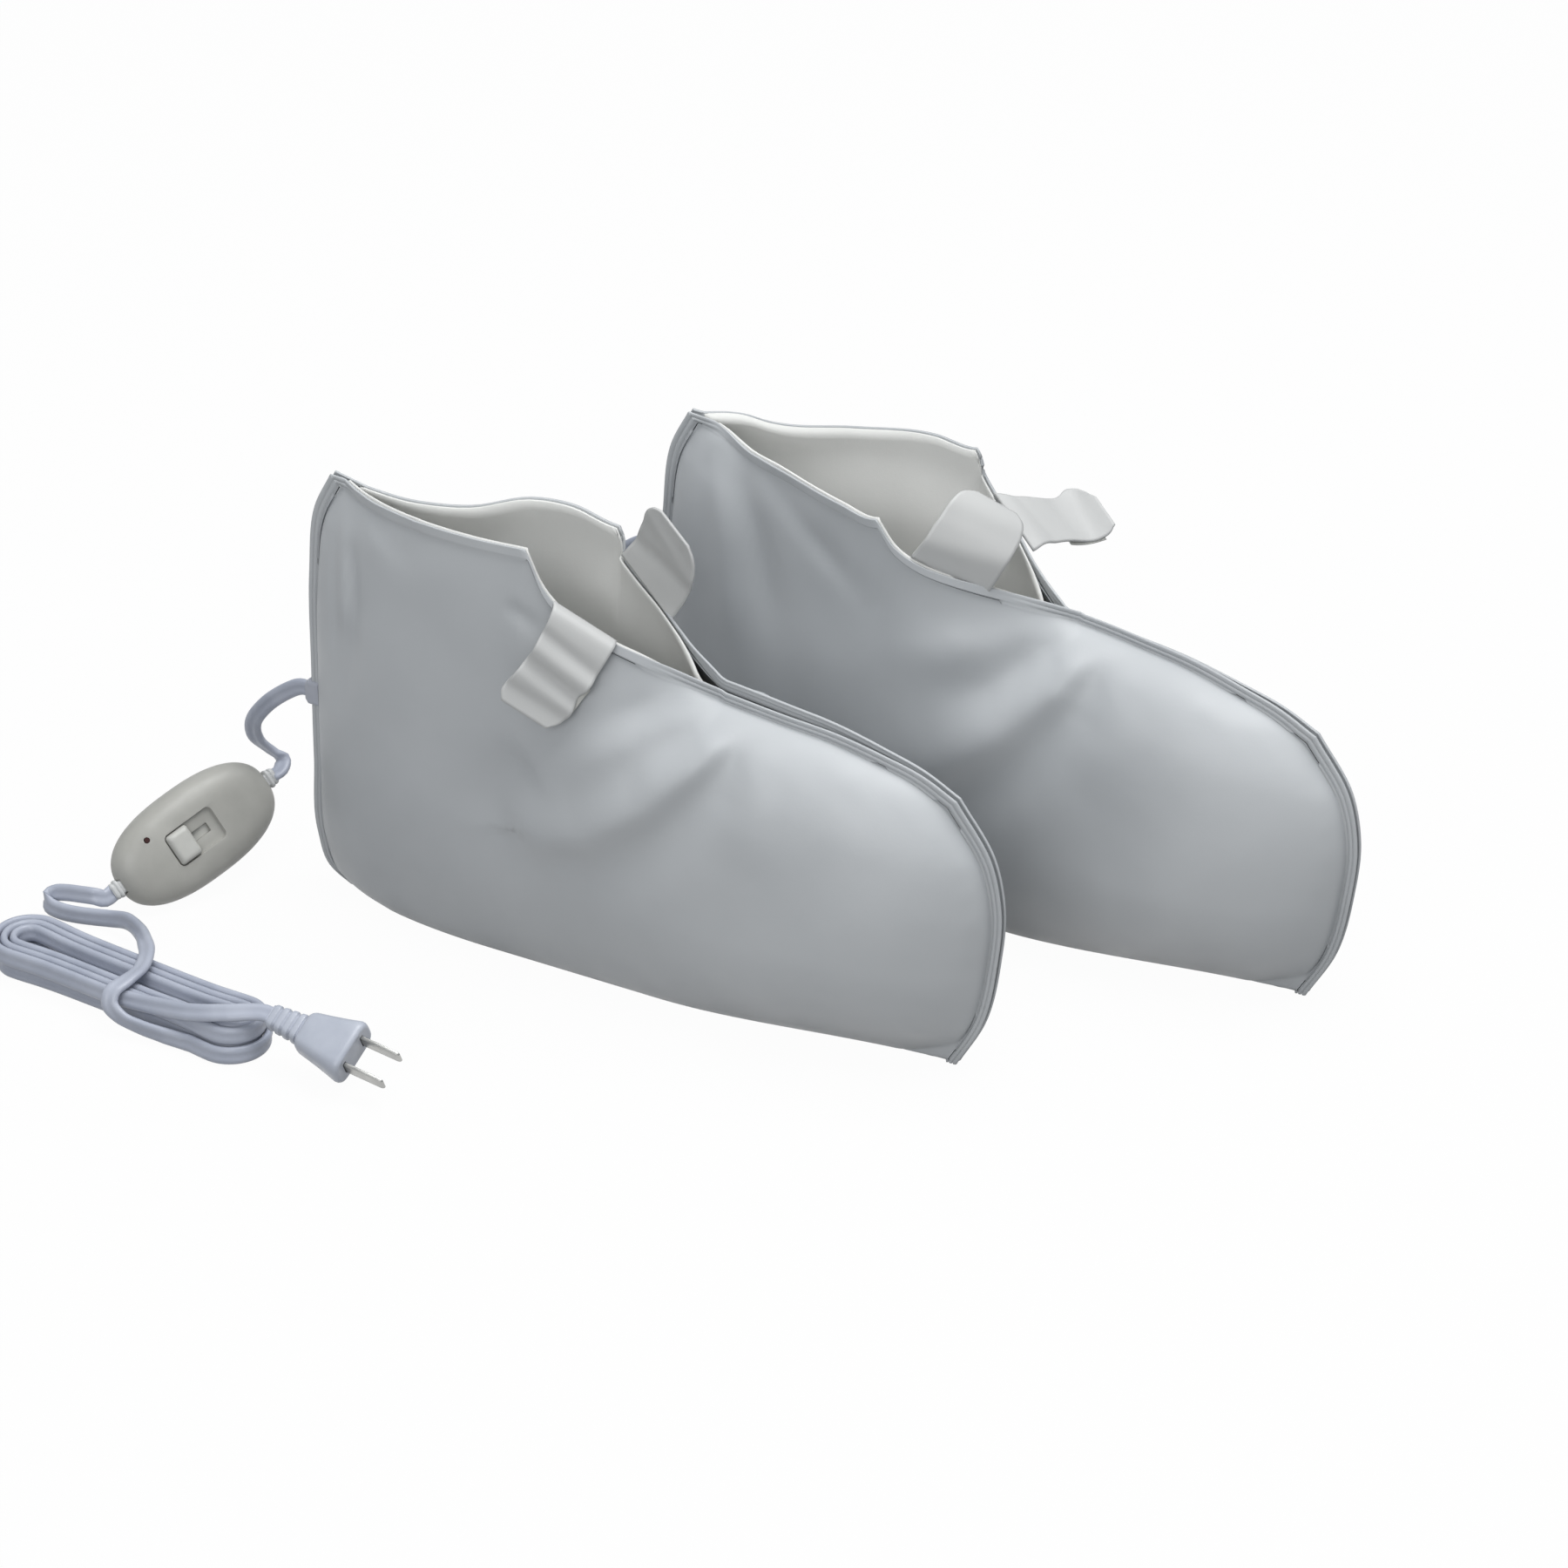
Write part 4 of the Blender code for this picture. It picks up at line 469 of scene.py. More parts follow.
def pulled(x, z, u, v, mouth):
    """Places with the top edge pulled forward and up, fading out below it, and the rim off the floor."""
    fade = step(v, 0.45, 1.0) / 1000
    least = 0.001 * (1 - step(from_ends(u), 0.0, 0.03))
    return x + smooth_read(mouth[3], u) * fade, np.maximum(z + smooth_read(mouth[2], u) * fade, least)


def fullness(u, v, mouth):
    """How far the skin stands out from the seam plane."""
    heel = np.sqrt(1 - (1 - np.minimum(u / 0.26, 1.0)) ** 2)
    toe = np.sqrt(1 - (np.maximum(u - 0.74, 0.0) / 0.26) ** 2)
    sole = 0.016 * heel * (1 - step(u, 0.55, 1.02))
    widest = 0.037 * smooth_read(bulge_shares, u) * heel * toe
    top = hem_out(u, mouth)
    height = np.clip((v - rim_share) / (1 - rim_share), 0.0, 1.0)
    lower = sole + (widest - sole) * np.sin(math.pi / 2 * np.minimum(height / 0.4, 1.0)) ** 0.9
    rise = np.clip((height - 0.4) / 0.6, 0.0, 1.0)
    upper = top + (widest - top) * (1 - rise**2) ** (0.5 + 0.5 * np.minimum(top / 0.012, 1.0))
    return np.where(v <= rim_share, sole * v / rim_share, np.where(height < 0.4, lower, upper))


def beside(x, z, path):
    """Distance from a given line, share along it, and side of it (mm)."""
    path = np.array(path, float)
    best = np.full(x.shape, 1e9)
    along = np.zeros(x.shape)
    hand = np.ones(x.shape)
    steps = np.hypot(*np.diff(path, axis=0).T)
    run = 0.0
    for (ax, az), (bx, bz), length in zip(path, path[1:], steps):
        dx, dz = (bx - ax) / length, (bz - az) / length
        t = np.clip((x - ax) * dx + (z - az) * dz, 0.0, length)
        gap = np.hypot(x - ax - dx * t, z - az - dz * t)
        nearer = gap < best
        best = np.where(nearer, gap, best)
        along = np.where(nearer, (run + t) / steps.sum(), along)
        hand = np.where(nearer, np.sign((x - ax) * dz - (z - az) * dx), hand)
        run += length
    return best, along, hand


def fall(x, z, u, v, folds):
    """How far folds, dents and weld puckers move the skin outwards, in metres."""
    x, z = x * 1000, z * 1000
    moved = np.zeros(x.shape)
    for height, over, under, tail, path in folds:
        gap, along, hand = beside(x, z, path)
        wide = np.where(hand > 0, over, under) * (1 + 0.7 * along)
        ends = step(along, -0.02, 0.18) * (1 - tail * step(along, 0.6, 1.0))
        moved += height * np.exp(-((gap / wide) ** 2)) * ends
    moved += 0.4 * np.sin(x / 17 + 1.3 * np.sin(z / 23)) * np.sin(z / 19 + 0.7 * np.sin(x / 29))
    inside = np.minimum(step(from_ends(u), 0.0, 0.1), 1 - step(v, 0.93, 1.0) * shut(u))
    open_edge = 1 - 0.75 * step(v, 0.86, 1.0) * (1 - shut(u))
    moved *= inside * open_edge * step(v, 0.06, 0.2)
    rim_gap = np.minimum(from_ends(u) * 5.0, np.where(shut(u) > 0.5, 1 - v, 1.0))
    pucker = np.sin(x / 2.9 + 2.1 * np.sin(z / 9)) * np.sin(z / 3.7 + 1.7 * np.sin(x / 11))
    moved += 0.22 * pucker * np.exp(-((rim_gap - 0.07) / 0.05) ** 2) * step(v, 0.08, 0.2)
    return moved / 1000


def panel(side, mouth, folds, deep, inset, stand, u=columns_at, v=rows_at):
    """Grid of points of one layer of a side, deep under the skin and clear of the seam plane."""
    u, v = np.meshgrid(u, v)
    x, z = seam_plane(u, v, inset(u, v) if callable(inset) else inset)
    y = fullness(u, v, mouth) + fall(x, z, u, v, folds)
    y = np.maximum(y - (deep(u, v) if callable(deep) else deep), stand)
    y[0, 1:-1] = skin_gap
    x, z = pulled(x, z, u, v, mouth)
    return np.stack([x, side * y, z], axis=-1)


def round_rim(rows, columns):
    """Places of a grid's edge from its lower heel corner over the top to its lower toe corner."""
    up = [(row, 0) for row in range(rows)]
    over = [(rows - 1, column) for column in range(1, columns)]
    return up + over + [(row, columns - 1) for row in range(rows - 2, -1, -1)]


rim_profile = ((0.12, 0.0), (0.24, -0.0005), (0.36, 0.00015), (0.52, 0.00015), (0.64, -0.0005),
               (0.76, 0.0001), (0.9, 0.00005), (1.0, -0.0002))


def hem_edge(grid, u, mouth, depth=0.0):
    """Cut edge over a grid's top row at places u, carrying on the skin's slope where the mouth is open."""
    x, z = pulled(*seam_plane(u, np.ones(u.shape), 0.0), u, np.ones(u.shape), mouth)
    slope = grid[-1] - grid[-6]
    leaning = np.abs(slope[:, 1]) / np.linalg.norm(slope, axis=1) * rim_width
    y = np.maximum(hem_out(u, mouth) - leaning * (1 - shut(u)) - depth, skin_gap + skin_thick)
    return np.stack([x, y, z], axis=-1)


def thicken(piece, thickness, offset=-1.0):
    """Give a sheet its thickness, inwards from its outer face unless told otherwise."""
    solid = piece.modifiers.new("thickness", "SOLIDIFY")
    solid.thickness = thickness
    solid.offset = offset


def bootie_side(name, heel, side, mouth, folds):
    """One vinyl side with its welded rim."""
    grid = panel(side, mouth, folds, 0.0, rim_width, skin_gap + skin_thick)
    rows, columns = grid.shape[:2]
    points = list(grid.reshape(-1, 3))
    edge = round_rim(rows, columns)
    numbers = [row * columns + column for row, column in edge]
    u = np.array([columns_at[column] for _, column in edge])
    v = np.array([rows_at[row] for row, _ in edge])
    x, z = pulled(*seam_plane(u, v, 0.0), u, v, mouth)
    cut = np.stack([x, np.full(x.shape, side * (skin_gap + skin_thick)), z], axis=-1)
    at_top = np.array([row == rows - 1 for row, _ in edge])
    cut[at_top] = hem_edge(grid, columns_at, mouth) * (1, side, 1)
    welded = np.where(at_top, shut(u) + (1 - step(u, 0.0, 0.06)) * (1 - shut(u)), 1.0)
    inner = np.array([points[number] for number in numbers])
    faces = patch(rows, columns, turned=side > 0)
    before = numbers
    for share_out, proud in rim_profile:
        ring = inner + (cut - inner) * share_out
        ring[:, 1] += side * proud * welded
        start = len(points)
        points += list(ring)
        after = list(range(start, start + len(ring)))
        for a, b, c, d in zip(before, before[1:], after[1:], after):
            faces.append((a, d, c, b) if side < 0 else (a, b, c, d))
        before = after
    piece = put(name + "_vinyl", np.array(points) + np.array(heel), faces, vinyl)
    thicken(piece, skin_thick)
    stand_in(piece, "booties", "vinyl", name)


# Folds: height, width over and under the line, how far it dies out at its end, and the line (mm).
near_right_folds = (
    (6.6, 11.0, 6.0, 0.2, ((209, 141), (197, 122), (176, 99), (151, 81), (129, 75))),
    (-2.8, 5.0, 5.0, 1.0, ((208, 145), (194, 131), (172, 114))),
    (3.4, 7.0, 7.0, 0.7, ((200, 147), (176, 133), (150, 113), (130, 94))),
    (-3.4, 5.0, 5.0, 0.9, ((208, 147), (193, 144), (168, 133), (146, 119))),
    (-3.2, 11.0, 11.0, 0.7, ((126, 106), (108, 86), (104, 62))),
    (-2.2, 8.0, 8.0, 0.9, ((211, 136), (203, 110), (185, 84), (160, 63), (138, 52))),
    (1.4, 8.0, 8.0, 1.0, ((216, 136), (222, 108), (214, 80))),
    (-3.0, 2.6, 2.6, 0.8, ((21, 184), (22, 160), (24, 130), (26, 98))),
    (-3.0, 2.8, 2.8, 0.8, ((30, 174), (34, 142), (32, 116), (27, 98))),
    (2.2, 3.6, 3.6, 0.8, ((25, 180), (28, 150), (29, 122))),
    (-1.8, 2.4, 6.0, 0.8, ((66, 187), (60, 178), (54, 168))),
    (1.6, 5.0, 2.4, 0.8, ((28, 188), (42, 176), (54, 166))),
    (-1.4, 3.0, 3.0, 0.9, ((112, 168), (122, 164), (131, 159))),
    (-1.5, 3.0, 3.0, 0.9, ((292, 24), (299, 16), (303, 9))),
    (1.3, 3.0, 3.0, 0.9, ((284, 22), (291, 14), (297, 7))),
)
far_right_folds = (
    (5.6, 11.0, 6.5, 0.3, ((209, 141), (196, 120), (176, 101), (150, 84), (124, 76))),
    (-2.8, 6.0, 6.0, 0.9, ((206, 144), (188, 128), (168, 116), (140, 108))),
    (2.6, 7.0, 7.0, 0.7, ((200, 147), (176, 138), (150, 130), (120, 128))),
    (-3.0, 9.0, 9.0, 0.9, ((211, 138), (202, 112), (184, 86), (160, 68), (138, 58))),
    (1.4, 9.0, 9.0, 1.0, ((216, 136), (222, 108), (214, 80))),
    (-2.8, 4.0, 6.0, 0.8, ((52, 188), (72, 178), (96, 164), (116, 152))),
    (2.4, 6.0, 6.0, 0.8, ((30, 182), (40, 152), (46, 118), (52, 92))),
    (-3.0, 5.0, 7.0, 0.8, ((44, 186), (56, 160), (68, 130), (74, 100))),
    (-1.8, 2.2, 2.2, 0.5, ((16, 190), (22, 181), (26, 173))),
    (-1.8, 2.2, 2.2, 0.5, ((40, 189), (33, 181), (27, 173))),
)
left_folds = (
    (4.2, 9.0, 7.0, 0.4, ((209, 141), (194, 118), (172, 99), (146, 84))),
    (-2.6, 7.0, 7.0, 0.9, ((206, 144), (186, 130), (164, 120), (140, 114))),
    (-1.8, 5.0, 5.0, 0.8, ((24, 182), (32, 150), (34, 118))),
    (1.6, 9.0, 9.0, 1.0, ((262, 112), (276, 84), (282, 52))),
)
# Each mouth: how far its corner stands out, how the hem gets there, and how far it is pulled up and
# forward (mm) at shares of the top edge.
unmoved = ((0.0, 0.0), (1.0, 0.0))
near_right_mouth = (0.026, hem_out_shares,
                    ((0.0, 0.0), (0.15, 1.5), (0.3, 2.0), (0.35, 2.0), (0.42, 0.5), (0.5, 0.0), (1.0, 0.0)),
                    unmoved)
near_left_mouth = (0.026, ((0.0, 0.0), (0.2, 0.22), (0.45, 0.54), (0.75, 0.88), (1.0, 1.0)),
                   ((0.0, 0.0), (0.05, -2.0), (0.11, -5.5), (0.18, -5.5), (0.25, 0.0), (0.3, -1.5),
                    (0.34, -7.0), (0.36, -8.5), (0.39, -6.0), (0.415, -1.0), (0.44, 0.0), (1.0, 0.0)),
                   ((0.0, 0.0), (0.1, 0.0), (0.24, 4.0), (0.31, 9.0), (0.36, 11.0), (0.39, 6.0),
                    (0.415, 0.5), (0.44, 0.0), (1.0, 0.0)))
far_right_mouth = (0.037, ((0.0, 0.0), (0.2, 0.17), (0.45, 0.48), (0.75, 0.84), (1.0, 1.0)),
                   ((0.0, 3.0), (0.04, 3.0), (0.1, 0.0), (0.2, 0.0), (0.29, -3.0), (0.34, -6.0),
                    (0.38, -2.5), (0.41, 0.0), (1.0, 0.0)), unmoved)
far_left_mouth = (0.037, hem_out_shares,
                  ((0.0, 3.0), (0.06, 3.0), (0.09, 0.0), (0.2, -0.5), (0.3, -1.0), (0.35, -5.0),
                   (0.38, -2.0), (0.41, 0.0), (1.0, 0.0)),
                  ((0.0, 0.0), (0.2, 0.0), (0.31, 4.0), (0.36, 6.0), (0.39, 2.0), (0.41, 0.0), (1.0, 0.0)))
# The four sides: label, heel, side of the seam (-1 right, 1 left), mouth and folds.
four_sides = (("near_bootie_right", near_heel, -1, near_right_mouth, near_right_folds),
              ("near_bootie_left", near_heel, 1, near_left_mouth, left_folds),
              ("far_bootie_right", far_heel, -1, far_right_mouth, far_right_folds),
              ("far_bootie_left", far_heel, 1, far_left_mouth, left_folds))
for label, *shaping in four_sides:
    bootie_side(f"{label}_side", *shaping)

# Strap tabs: an ear of the same vinyl on each side of the slit, turned over at its root. The near right
# one hangs outside in soft cross waves, the far left one lies out sideways, and two stand and lean in.
# Tab vinyl: a more neutral grey than the sides, and also painted lighter than the side vinyl, as painted
# light on tab faces that turn down into shade.
tab_vinyl_painted_lighter = finish_of("tab vinyl painted lighter", (0.515, 0.521, 0.517), (0.59, 0.596, 0.59), (0.46, 0.58), 14.0, 1900.0,
                      0.00005)
tab_wide, tab_long = 0.034, 0.044


def tab_frame(side, out):
    """Fold line of a tab: its middle, and axes along it, up from the slit and out from the side."""
    ends = []
    for column in (8.2, 10.1):
        pair = []
        for whole in (math.floor(column), math.floor(column) + 1):
            u = np.array(whole / 20)
            x, z = seam_plane(u, np.array(1.0), 0.0)
            stands = out * np.interp((u - slit_top) / (slit_low - slit_top), *np.array(slit_out_shares).T)
            pair.append(Vector((float(x), side * (float(stands) - skin_thick / 2), float(z))))
        ends.append(pair[0].lerp(pair[1], column - math.floor(column)))
    forward = (ends[1] - ends[0]).normalized()
    outward = Vector((0.0, side, 0.0))
    outward = (outward - outward.dot(forward) * forward).normalized()
    up = forward.cross(outward) * side
    return (ends[0] + ends[1]) / 2 + up * 0.0009, forward, up, outward


def ear(heel, side, out, rest, edges, waves, offset=0.0, part=(0.0, 1.0), rows=40, columns=24, narrow=1.0):
    """Grid of points of a tab along its rest line; edges gives its heel-side and toe-side half widths."""
    middle, forward, up, outward = tab_frame(side, out)
    middle = middle + Vector(heel)
    line = smooth_line(np.array(rest) * tab_long, 0.0008)
    stops = np.linspace(part[0], part[1], rows) * (len(line) - 1)
    line = read(stops, np.arange(len(line)), line) @ np.array([up, outward, forward])
    ways = np.gradient(line, axis=0)
    hand = 1 if up.cross(forward).dot(outward) > 0 else -1
    faces_out = np.cross(ways, np.array(forward)) * hand
    faces_out /= np.linalg.norm(faces_out, axis=1)[:, None]
    shares = np.linspace(part[0], part[1], rows)
    low, high = read(shares, [key for key, *_ in edges], [half for _, *half in edges]).T * narrow
    across = np.linspace(0.0, 1.0, columns)
    widths = (-low[:, None] * (1 - across) + high[:, None] * across) * tab_wide / 2
    points = line[:, None, :] + widths[:, :, None] * np.array(forward)
    lift = offset * np.ones((rows, columns))
    for height, share_at, width, slant in waves:
        crest = share_at + slant * (across - 0.5)
        lift += height / 1000 * np.exp(-(((shares[:, None] - crest) / width) ** 2))
    return points + lift[:, :, None] * faces_out[:, None, :] + np.array(middle), middle, up, outward


def round_ends(edges):
    """Smoothly rounded version of a table of half widths."""
    fine = np.linspace(edges[0][0], 1.0, 60)
    halves = read(fine, [key for key, *_ in edges], [half for _, *half in edges]).T
    halves = [np.convolve(np.pad(half, 2, "edge"), np.ones(5) / 5, "valid") for half in halves]
    return list(zip(fine, *halves))


def bootie_tab(name, heel, side, out, rest, edges, waves):
    """One tab, which starts on the slit's rim and bends where it joins the side."""
    grid, middle, up, outward = ear(heel, side, out, rest, round_ends(edges), waves)
    rows, columns = grid.shape[:2]
    piece = put(name + "_vinyl", grid.reshape(-1, 3), patch(rows, columns), tab_vinyl_painted_lighter)
    thicken(piece, 0.0011, 0.0)
    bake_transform(piece)
    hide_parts(name)


near_out, far_out = near_right_mouth[0], far_right_mouth[0]
ear_edges = ((0.0, 1.0, 1.0), (0.3, 0.98, 0.98), (0.72, 0.97, 0.95), (0.86, 0.9, 0.86), (0.95, 0.74, 0.72),
             (1.0, 0.46, 0.5))
hanging_edges = ((0.0, 1.14, 0.56), (0.2, 1.02, 0.58), (0.5, 0.94, 0.62), (0.62, 0.94, 0.54),
                 (0.8, 0.96, 0.68), (0.93, 0.94, 0.62), (1.0, 0.72, 0.42))
strap_edges = ((0.0, 0.84, 0.96), (0.15, 0.68, 0.78), (0.45, 0.64, 0.64), (0.68, 0.72, 0.62),
               (0.8, 0.94, 0.64), (0.92, 0.82, 0.58), (1.0, 0.38, 0.38))
near_right_rest = ((-0.02, 0.0, 0.0), (0.0, 0.11, 0.0), (-0.1, 0.19, 0.0), (-0.24, 0.24, 0.0),
                   (-0.38, 0.32, 0.0), (-0.52, 0.33, -0.01), (-0.66, 0.4, -0.02), (-0.79, 0.42, -0.04),
                   (-0.9, 0.48, -0.06))
near_left_rest = ((-0.02, 0.0, 0.0), (0.1, 0.008, 0.0), (0.2, 0.01, 0.0), (0.3, 0.004, -0.01),
                  (0.395, -0.008, -0.02), (0.49, -0.022, -0.03), (0.575, -0.04, -0.05), (0.66, -0.058, -0.07),
                  (0.74, -0.075, -0.09))
far_right_rest = ((-0.02, 0.0, 0.0), (0.115, -0.01, 0.0), (0.225, -0.03, 0.0), (0.33, -0.07, 0.0),
                  (0.43, -0.13, 0.01), (0.51, -0.21, 0.02), (0.565, -0.3, 0.03), (0.595, -0.39, 0.04),
                  (0.6, -0.48, 0.05))
far_left_rest = ((-0.02, 0.0, 0.0), (0.02, 0.11, 0.03), (0.03, 0.23, 0.05), (0.02, 0.35, 0.08),
                 (0.01, 0.47, 0.11), (0.01, 0.59, 0.14), (0.04, 0.71, 0.17), (0.11, 0.82, 0.2),
                 (0.21, 0.91, 0.23))
bootie_tab("near_bootie_right_tab", near_heel, -1, near_out, near_right_rest, hanging_edges,
           ((1.0, 0.34, 0.05, 0.08), (-0.9, 0.46, 0.06, 0.06), (1.1, 0.6, 0.06, 0.1),
            (-0.8, 0.72, 0.05, 0.05), (0.7, 0.84, 0.05, 0.0)))
bootie_tab("near_bootie_left_tab", near_heel, 1, near_out, near_left_rest, ear_edges,
           ((0.8, 0.4, 0.12, 0.2), (-0.6, 0.7, 0.12, -0.2)))
bootie_tab("far_bootie_right_tab", far_heel, -1, far_out, far_right_rest, ear_edges,
           ((0.8, 0.35, 0.12, 0.2), (-0.5, 0.65, 0.12, 0.1)))
bootie_tab("far_bootie_left_tab", far_heel, 1, far_out, far_left_rest, strap_edges,
           ((0.7, 0.25, 0.08, 0.1), (-0.6, 0.5, 0.1, 0.1), (0.5, 0.8, 0.08, -0.1)))

# Hook patches: a stamped patch of hook tape welded to the hidden face of one tab of each pair, off-white,
# with rows of small bent hooks standing on its woven ground.
hook_white = finish_of("hook tape", (0.52, 0.52, 0.49), (0.62, 0.62, 0.59), (0.6, 0.8), 120.0, 1500.0, 0.0002)


def slab(rows, columns, turned=False):
    """Faces of a slab between two grids of points: its two faces and the edge round them."""
    count = rows * columns
    edge = round_rim(rows, columns) + [(0, column) for column in range(columns - 2, 0, -1)]
    ring = [row * columns + column for row, column in edge]
    faces = patch(rows, columns, turned=turned) + patch(rows, columns, count, turned=not turned)
    return faces + [(a, b, b + count, a + count) for a, b in zip(ring, ring[1:] + ring[:1])]


def hook_patch(name, heel, side, out, rest, body):
    """Hook patch on the outer face of a tab."""
    straight = ((0.0, 1.0, 1.0), (1.0, 1.0, 1.0))
    stretch, narrow = (0.52, 0.86), 0.66
    rows, columns = 22, 16
    base, top, tips = (ear(heel, side, out, rest, straight, (), offset, stretch, rows, columns, narrow)[0]
                       for offset in (0.0009, 0.0016, 0.0023))
    points = list(base.reshape(-1, 3)) + list(top.reshape(-1, 3))
    faces = slab(rows, columns)
    for row in range(1, rows - 1):
        for column in range(1, columns - 1):
            foot, tip = top[row, column], tips[row, column]
            along, over = top[row + 1, column] - foot, top[row, column + 1] - foot
            along, over = along / np.linalg.norm(along) * 0.00018, over / np.linalg.norm(over) * 0.00012
            start = len(points)
            bent = tip + along * 2.4
            points += [foot - along - over, foot + along - over, foot + along + over, foot - along + over,
                       tip - over, bent - over, bent + over, tip + over]
            faces += [tuple(start + corner for corner in face) for face in
                      ((0, 1, 5, 4), (1, 2, 6, 5), (2, 3, 7, 6), (3, 0, 4, 7), (4, 5, 6, 7))]
    piece = put(name + "_tape", points, faces, hook_white)
    piece.data.set_sharp_from_angle(angle=math.radians(35.0))
    stand_in(piece, body, "hook", name)


hook_patch("near_bootie_hook_patch", near_heel, -1, near_out, near_right_rest, "near_right_tab")
hook_patch("far_bootie_hook_patch", far_heel, 1, far_out, far_left_rest, "far_left_tab")

# Linings: a short-napped knit, warm light grey and painted lighter still, as painted light for the shade
# inside the booties; one in each side, loose over the wire and turned out to the vinyl at the mouth,
# where it is welded in.
fleece = finish_of("grey fleece", (0.74, 0.742, 0.722), (0.81, 0.812, 0.79), (0.75, 0.9), 18.0, 3200.0,
                   0.0001, sheen=0.1)
roughen(fleece, 0.25, 0.0003, 420.0, 5.0, 0.7, 0.8)
lining_depth, hem_depth, lining_thick = 0.0057, 0.0011, 0.0008


def lining(name, heel, side, mouth, folds):
    """Knitted lining of one side."""
    def turned_out(u, v):
        return (1 - shut(u)) * step(v, 0.8, 0.97)

    def depth(u, v):
        return lining_depth - (lining_depth - hem_depth) * turned_out(u, v)

    def inset(u, v):
        return rim_width + lining_depth * (1 - turned_out(u, v))

    grid = panel(side, mouth, folds, depth, inset, skin_gap + 0.0009, columns_at, rows_at[::2])
    edge = hem_edge(grid, columns_at, mouth, 0.0013) * (1, side, 1) - grid[-1]
    open_here = (1 - shut(columns_at)) * step(hem_out(columns_at, mouth), 0.001, 0.004)
    grid = np.concatenate([grid, [grid[-1] + edge * np.maximum(open_here, 0.03)[:, None] * 0.97]])
    rows, columns = grid.shape[:2]
    piece = put(name + "_fleece", grid.reshape(-1, 3) + np.array(heel), patch(rows, columns, turned=side > 0),
                fleece)
    thicken(piece, lining_thick)
    stand_in(piece, "booties", "fleece", name)


# Heating pads: the white felt carriers behind the vinyl, 2 mm thick, stitched to the wire in rows, so
# that they quilt a little between the rows.
felt = finish_of("white felt", (0.7, 0.69, 0.64), (0.8, 0.79, 0.75), (0.88, 0.98), 40.0, 2400.0, 0.00025,
                 sheen=0.2)
roughen(felt, 0.4, 0.0004, 700.0, 6.0, 0.8, 2.5)
felt_outer, felt_inner = 0.0013, 0.0033


def heating_pad(name, heel, side, mouth, folds):
    """Felt carrier of the wire, closed between its two faces, with rows of quilting."""
    u, v = np.linspace(0.1, 0.9, 81), np.linspace(0.115, 0.9, 61)
    quilt = 0.00035 * np.abs(np.cos(np.linspace(0.0, 8 * math.pi, len(v))))[:, None] - 0.0002
    grids = []
    for deep, quilted in ((felt_outer, 0.0), (felt_inner, 1.0)):
        grid = panel(side, mouth, folds, deep, rim_width + deep, 0.0002, np.append(0.0, u), np.append(0.0, v))
        grid = grid[1:, 1:]
        grid[:, :, 1] += side * quilted * quilt
        grids.append(grid.reshape(-1, 3))
    points = np.concatenate(grids) + np.array(heel)
    piece = put(name + "_felt", points, slab(len(v), len(u), turned=side > 0), felt)
    stand_in(piece, "booties", "heating_felt", name)


# Heating wires: silicone-coated resistance wire, red, 1.6 mm, laid in four runs over each felt, with
# its turns clear of heel and toe.
silicone = finish_of("red silicone", (0.4, 0.045, 0.03), (0.5, 0.07, 0.05), (0.4, 0.5), 90.0, 2000.0, 0.00003,
                     coat=0.2)
wire_depth, wire_radius = 0.0046, 0.0008


def heating_wire(name, heel, side, mouth, folds):
    """Wire laid to and fro over the felt's inner face."""
    levels = (0.22, 0.35, 0.63, 0.77)
    route = []
    for run, level in enumerate(levels):
        along = np.linspace(0.15, 0.85, 60)[::1 if run % 2 == 0 else -1]
        route += [(share_at, level) for share_at in along]
        if level != levels[-1]:
            rise = np.linspace(level, levels[run + 1], 14)[1:-1]
            bulge = 0.01 * np.sin(np.linspace(0, math.pi, 14))[1:-1] * (1 if along[-1] > 0.5 else -1)
            route += list(zip(along[-1] + bulge, rise))
    u, v = np.array(route).T
    x, z = seam_plane(u, v, rim_width + wire_depth)
    y = fullness(u, v, mouth) + fall(x, z, u, v, folds) - wire_depth
    x, z = pulled(x, z, u, v, mouth)
    points = np.stack([x, side * np.maximum(y, 0.0012), z], axis=1) + np.array(heel)
    curve = bpy.data.curves.new(name + "_silicone", "CURVE")
    curve.dimensions = "3D"
    curve.bevel_depth = wire_radius
    curve.bevel_resolution = 2
    curve.use_fill_caps = True
    spline = curve.splines.new("POLY")
    spline.points.add(len(points) - 1)
    for knot, point in zip(spline.points, points):
        knot.co = (*point, 1.0)
    curve.materials.append(silicone)
    stand_in(added(name + "_silicone", curve), "booties", "heating_wire", name)


for label, *shaping in four_sides:
    lining(f"{label}_lining", *shaping)
    heating_pad(f"{label}_heating_pad", *shaping)
    heating_wire(f"{label}_heating_wire", *shaping)


# Thermal cut-outs: small black moulded cases on the felt, between two runs of wire. The slide switch in
# the controller has the same moulded case.
def refinish(finish, *nodes):
    """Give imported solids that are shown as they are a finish."""
    for node in nodes:
        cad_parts[node].material_slots[0].material = finish


black = finish_of("black plastic", (0.016, 0.016, 0.017), (0.026, 0.026, 0.028), (0.35, 0.5), 200.0, 2500.0,
                  0.00004)
refinish(black, "near_bootie_thermal_cutout", "far_bootie_thermal_cutout", "slide_switch")

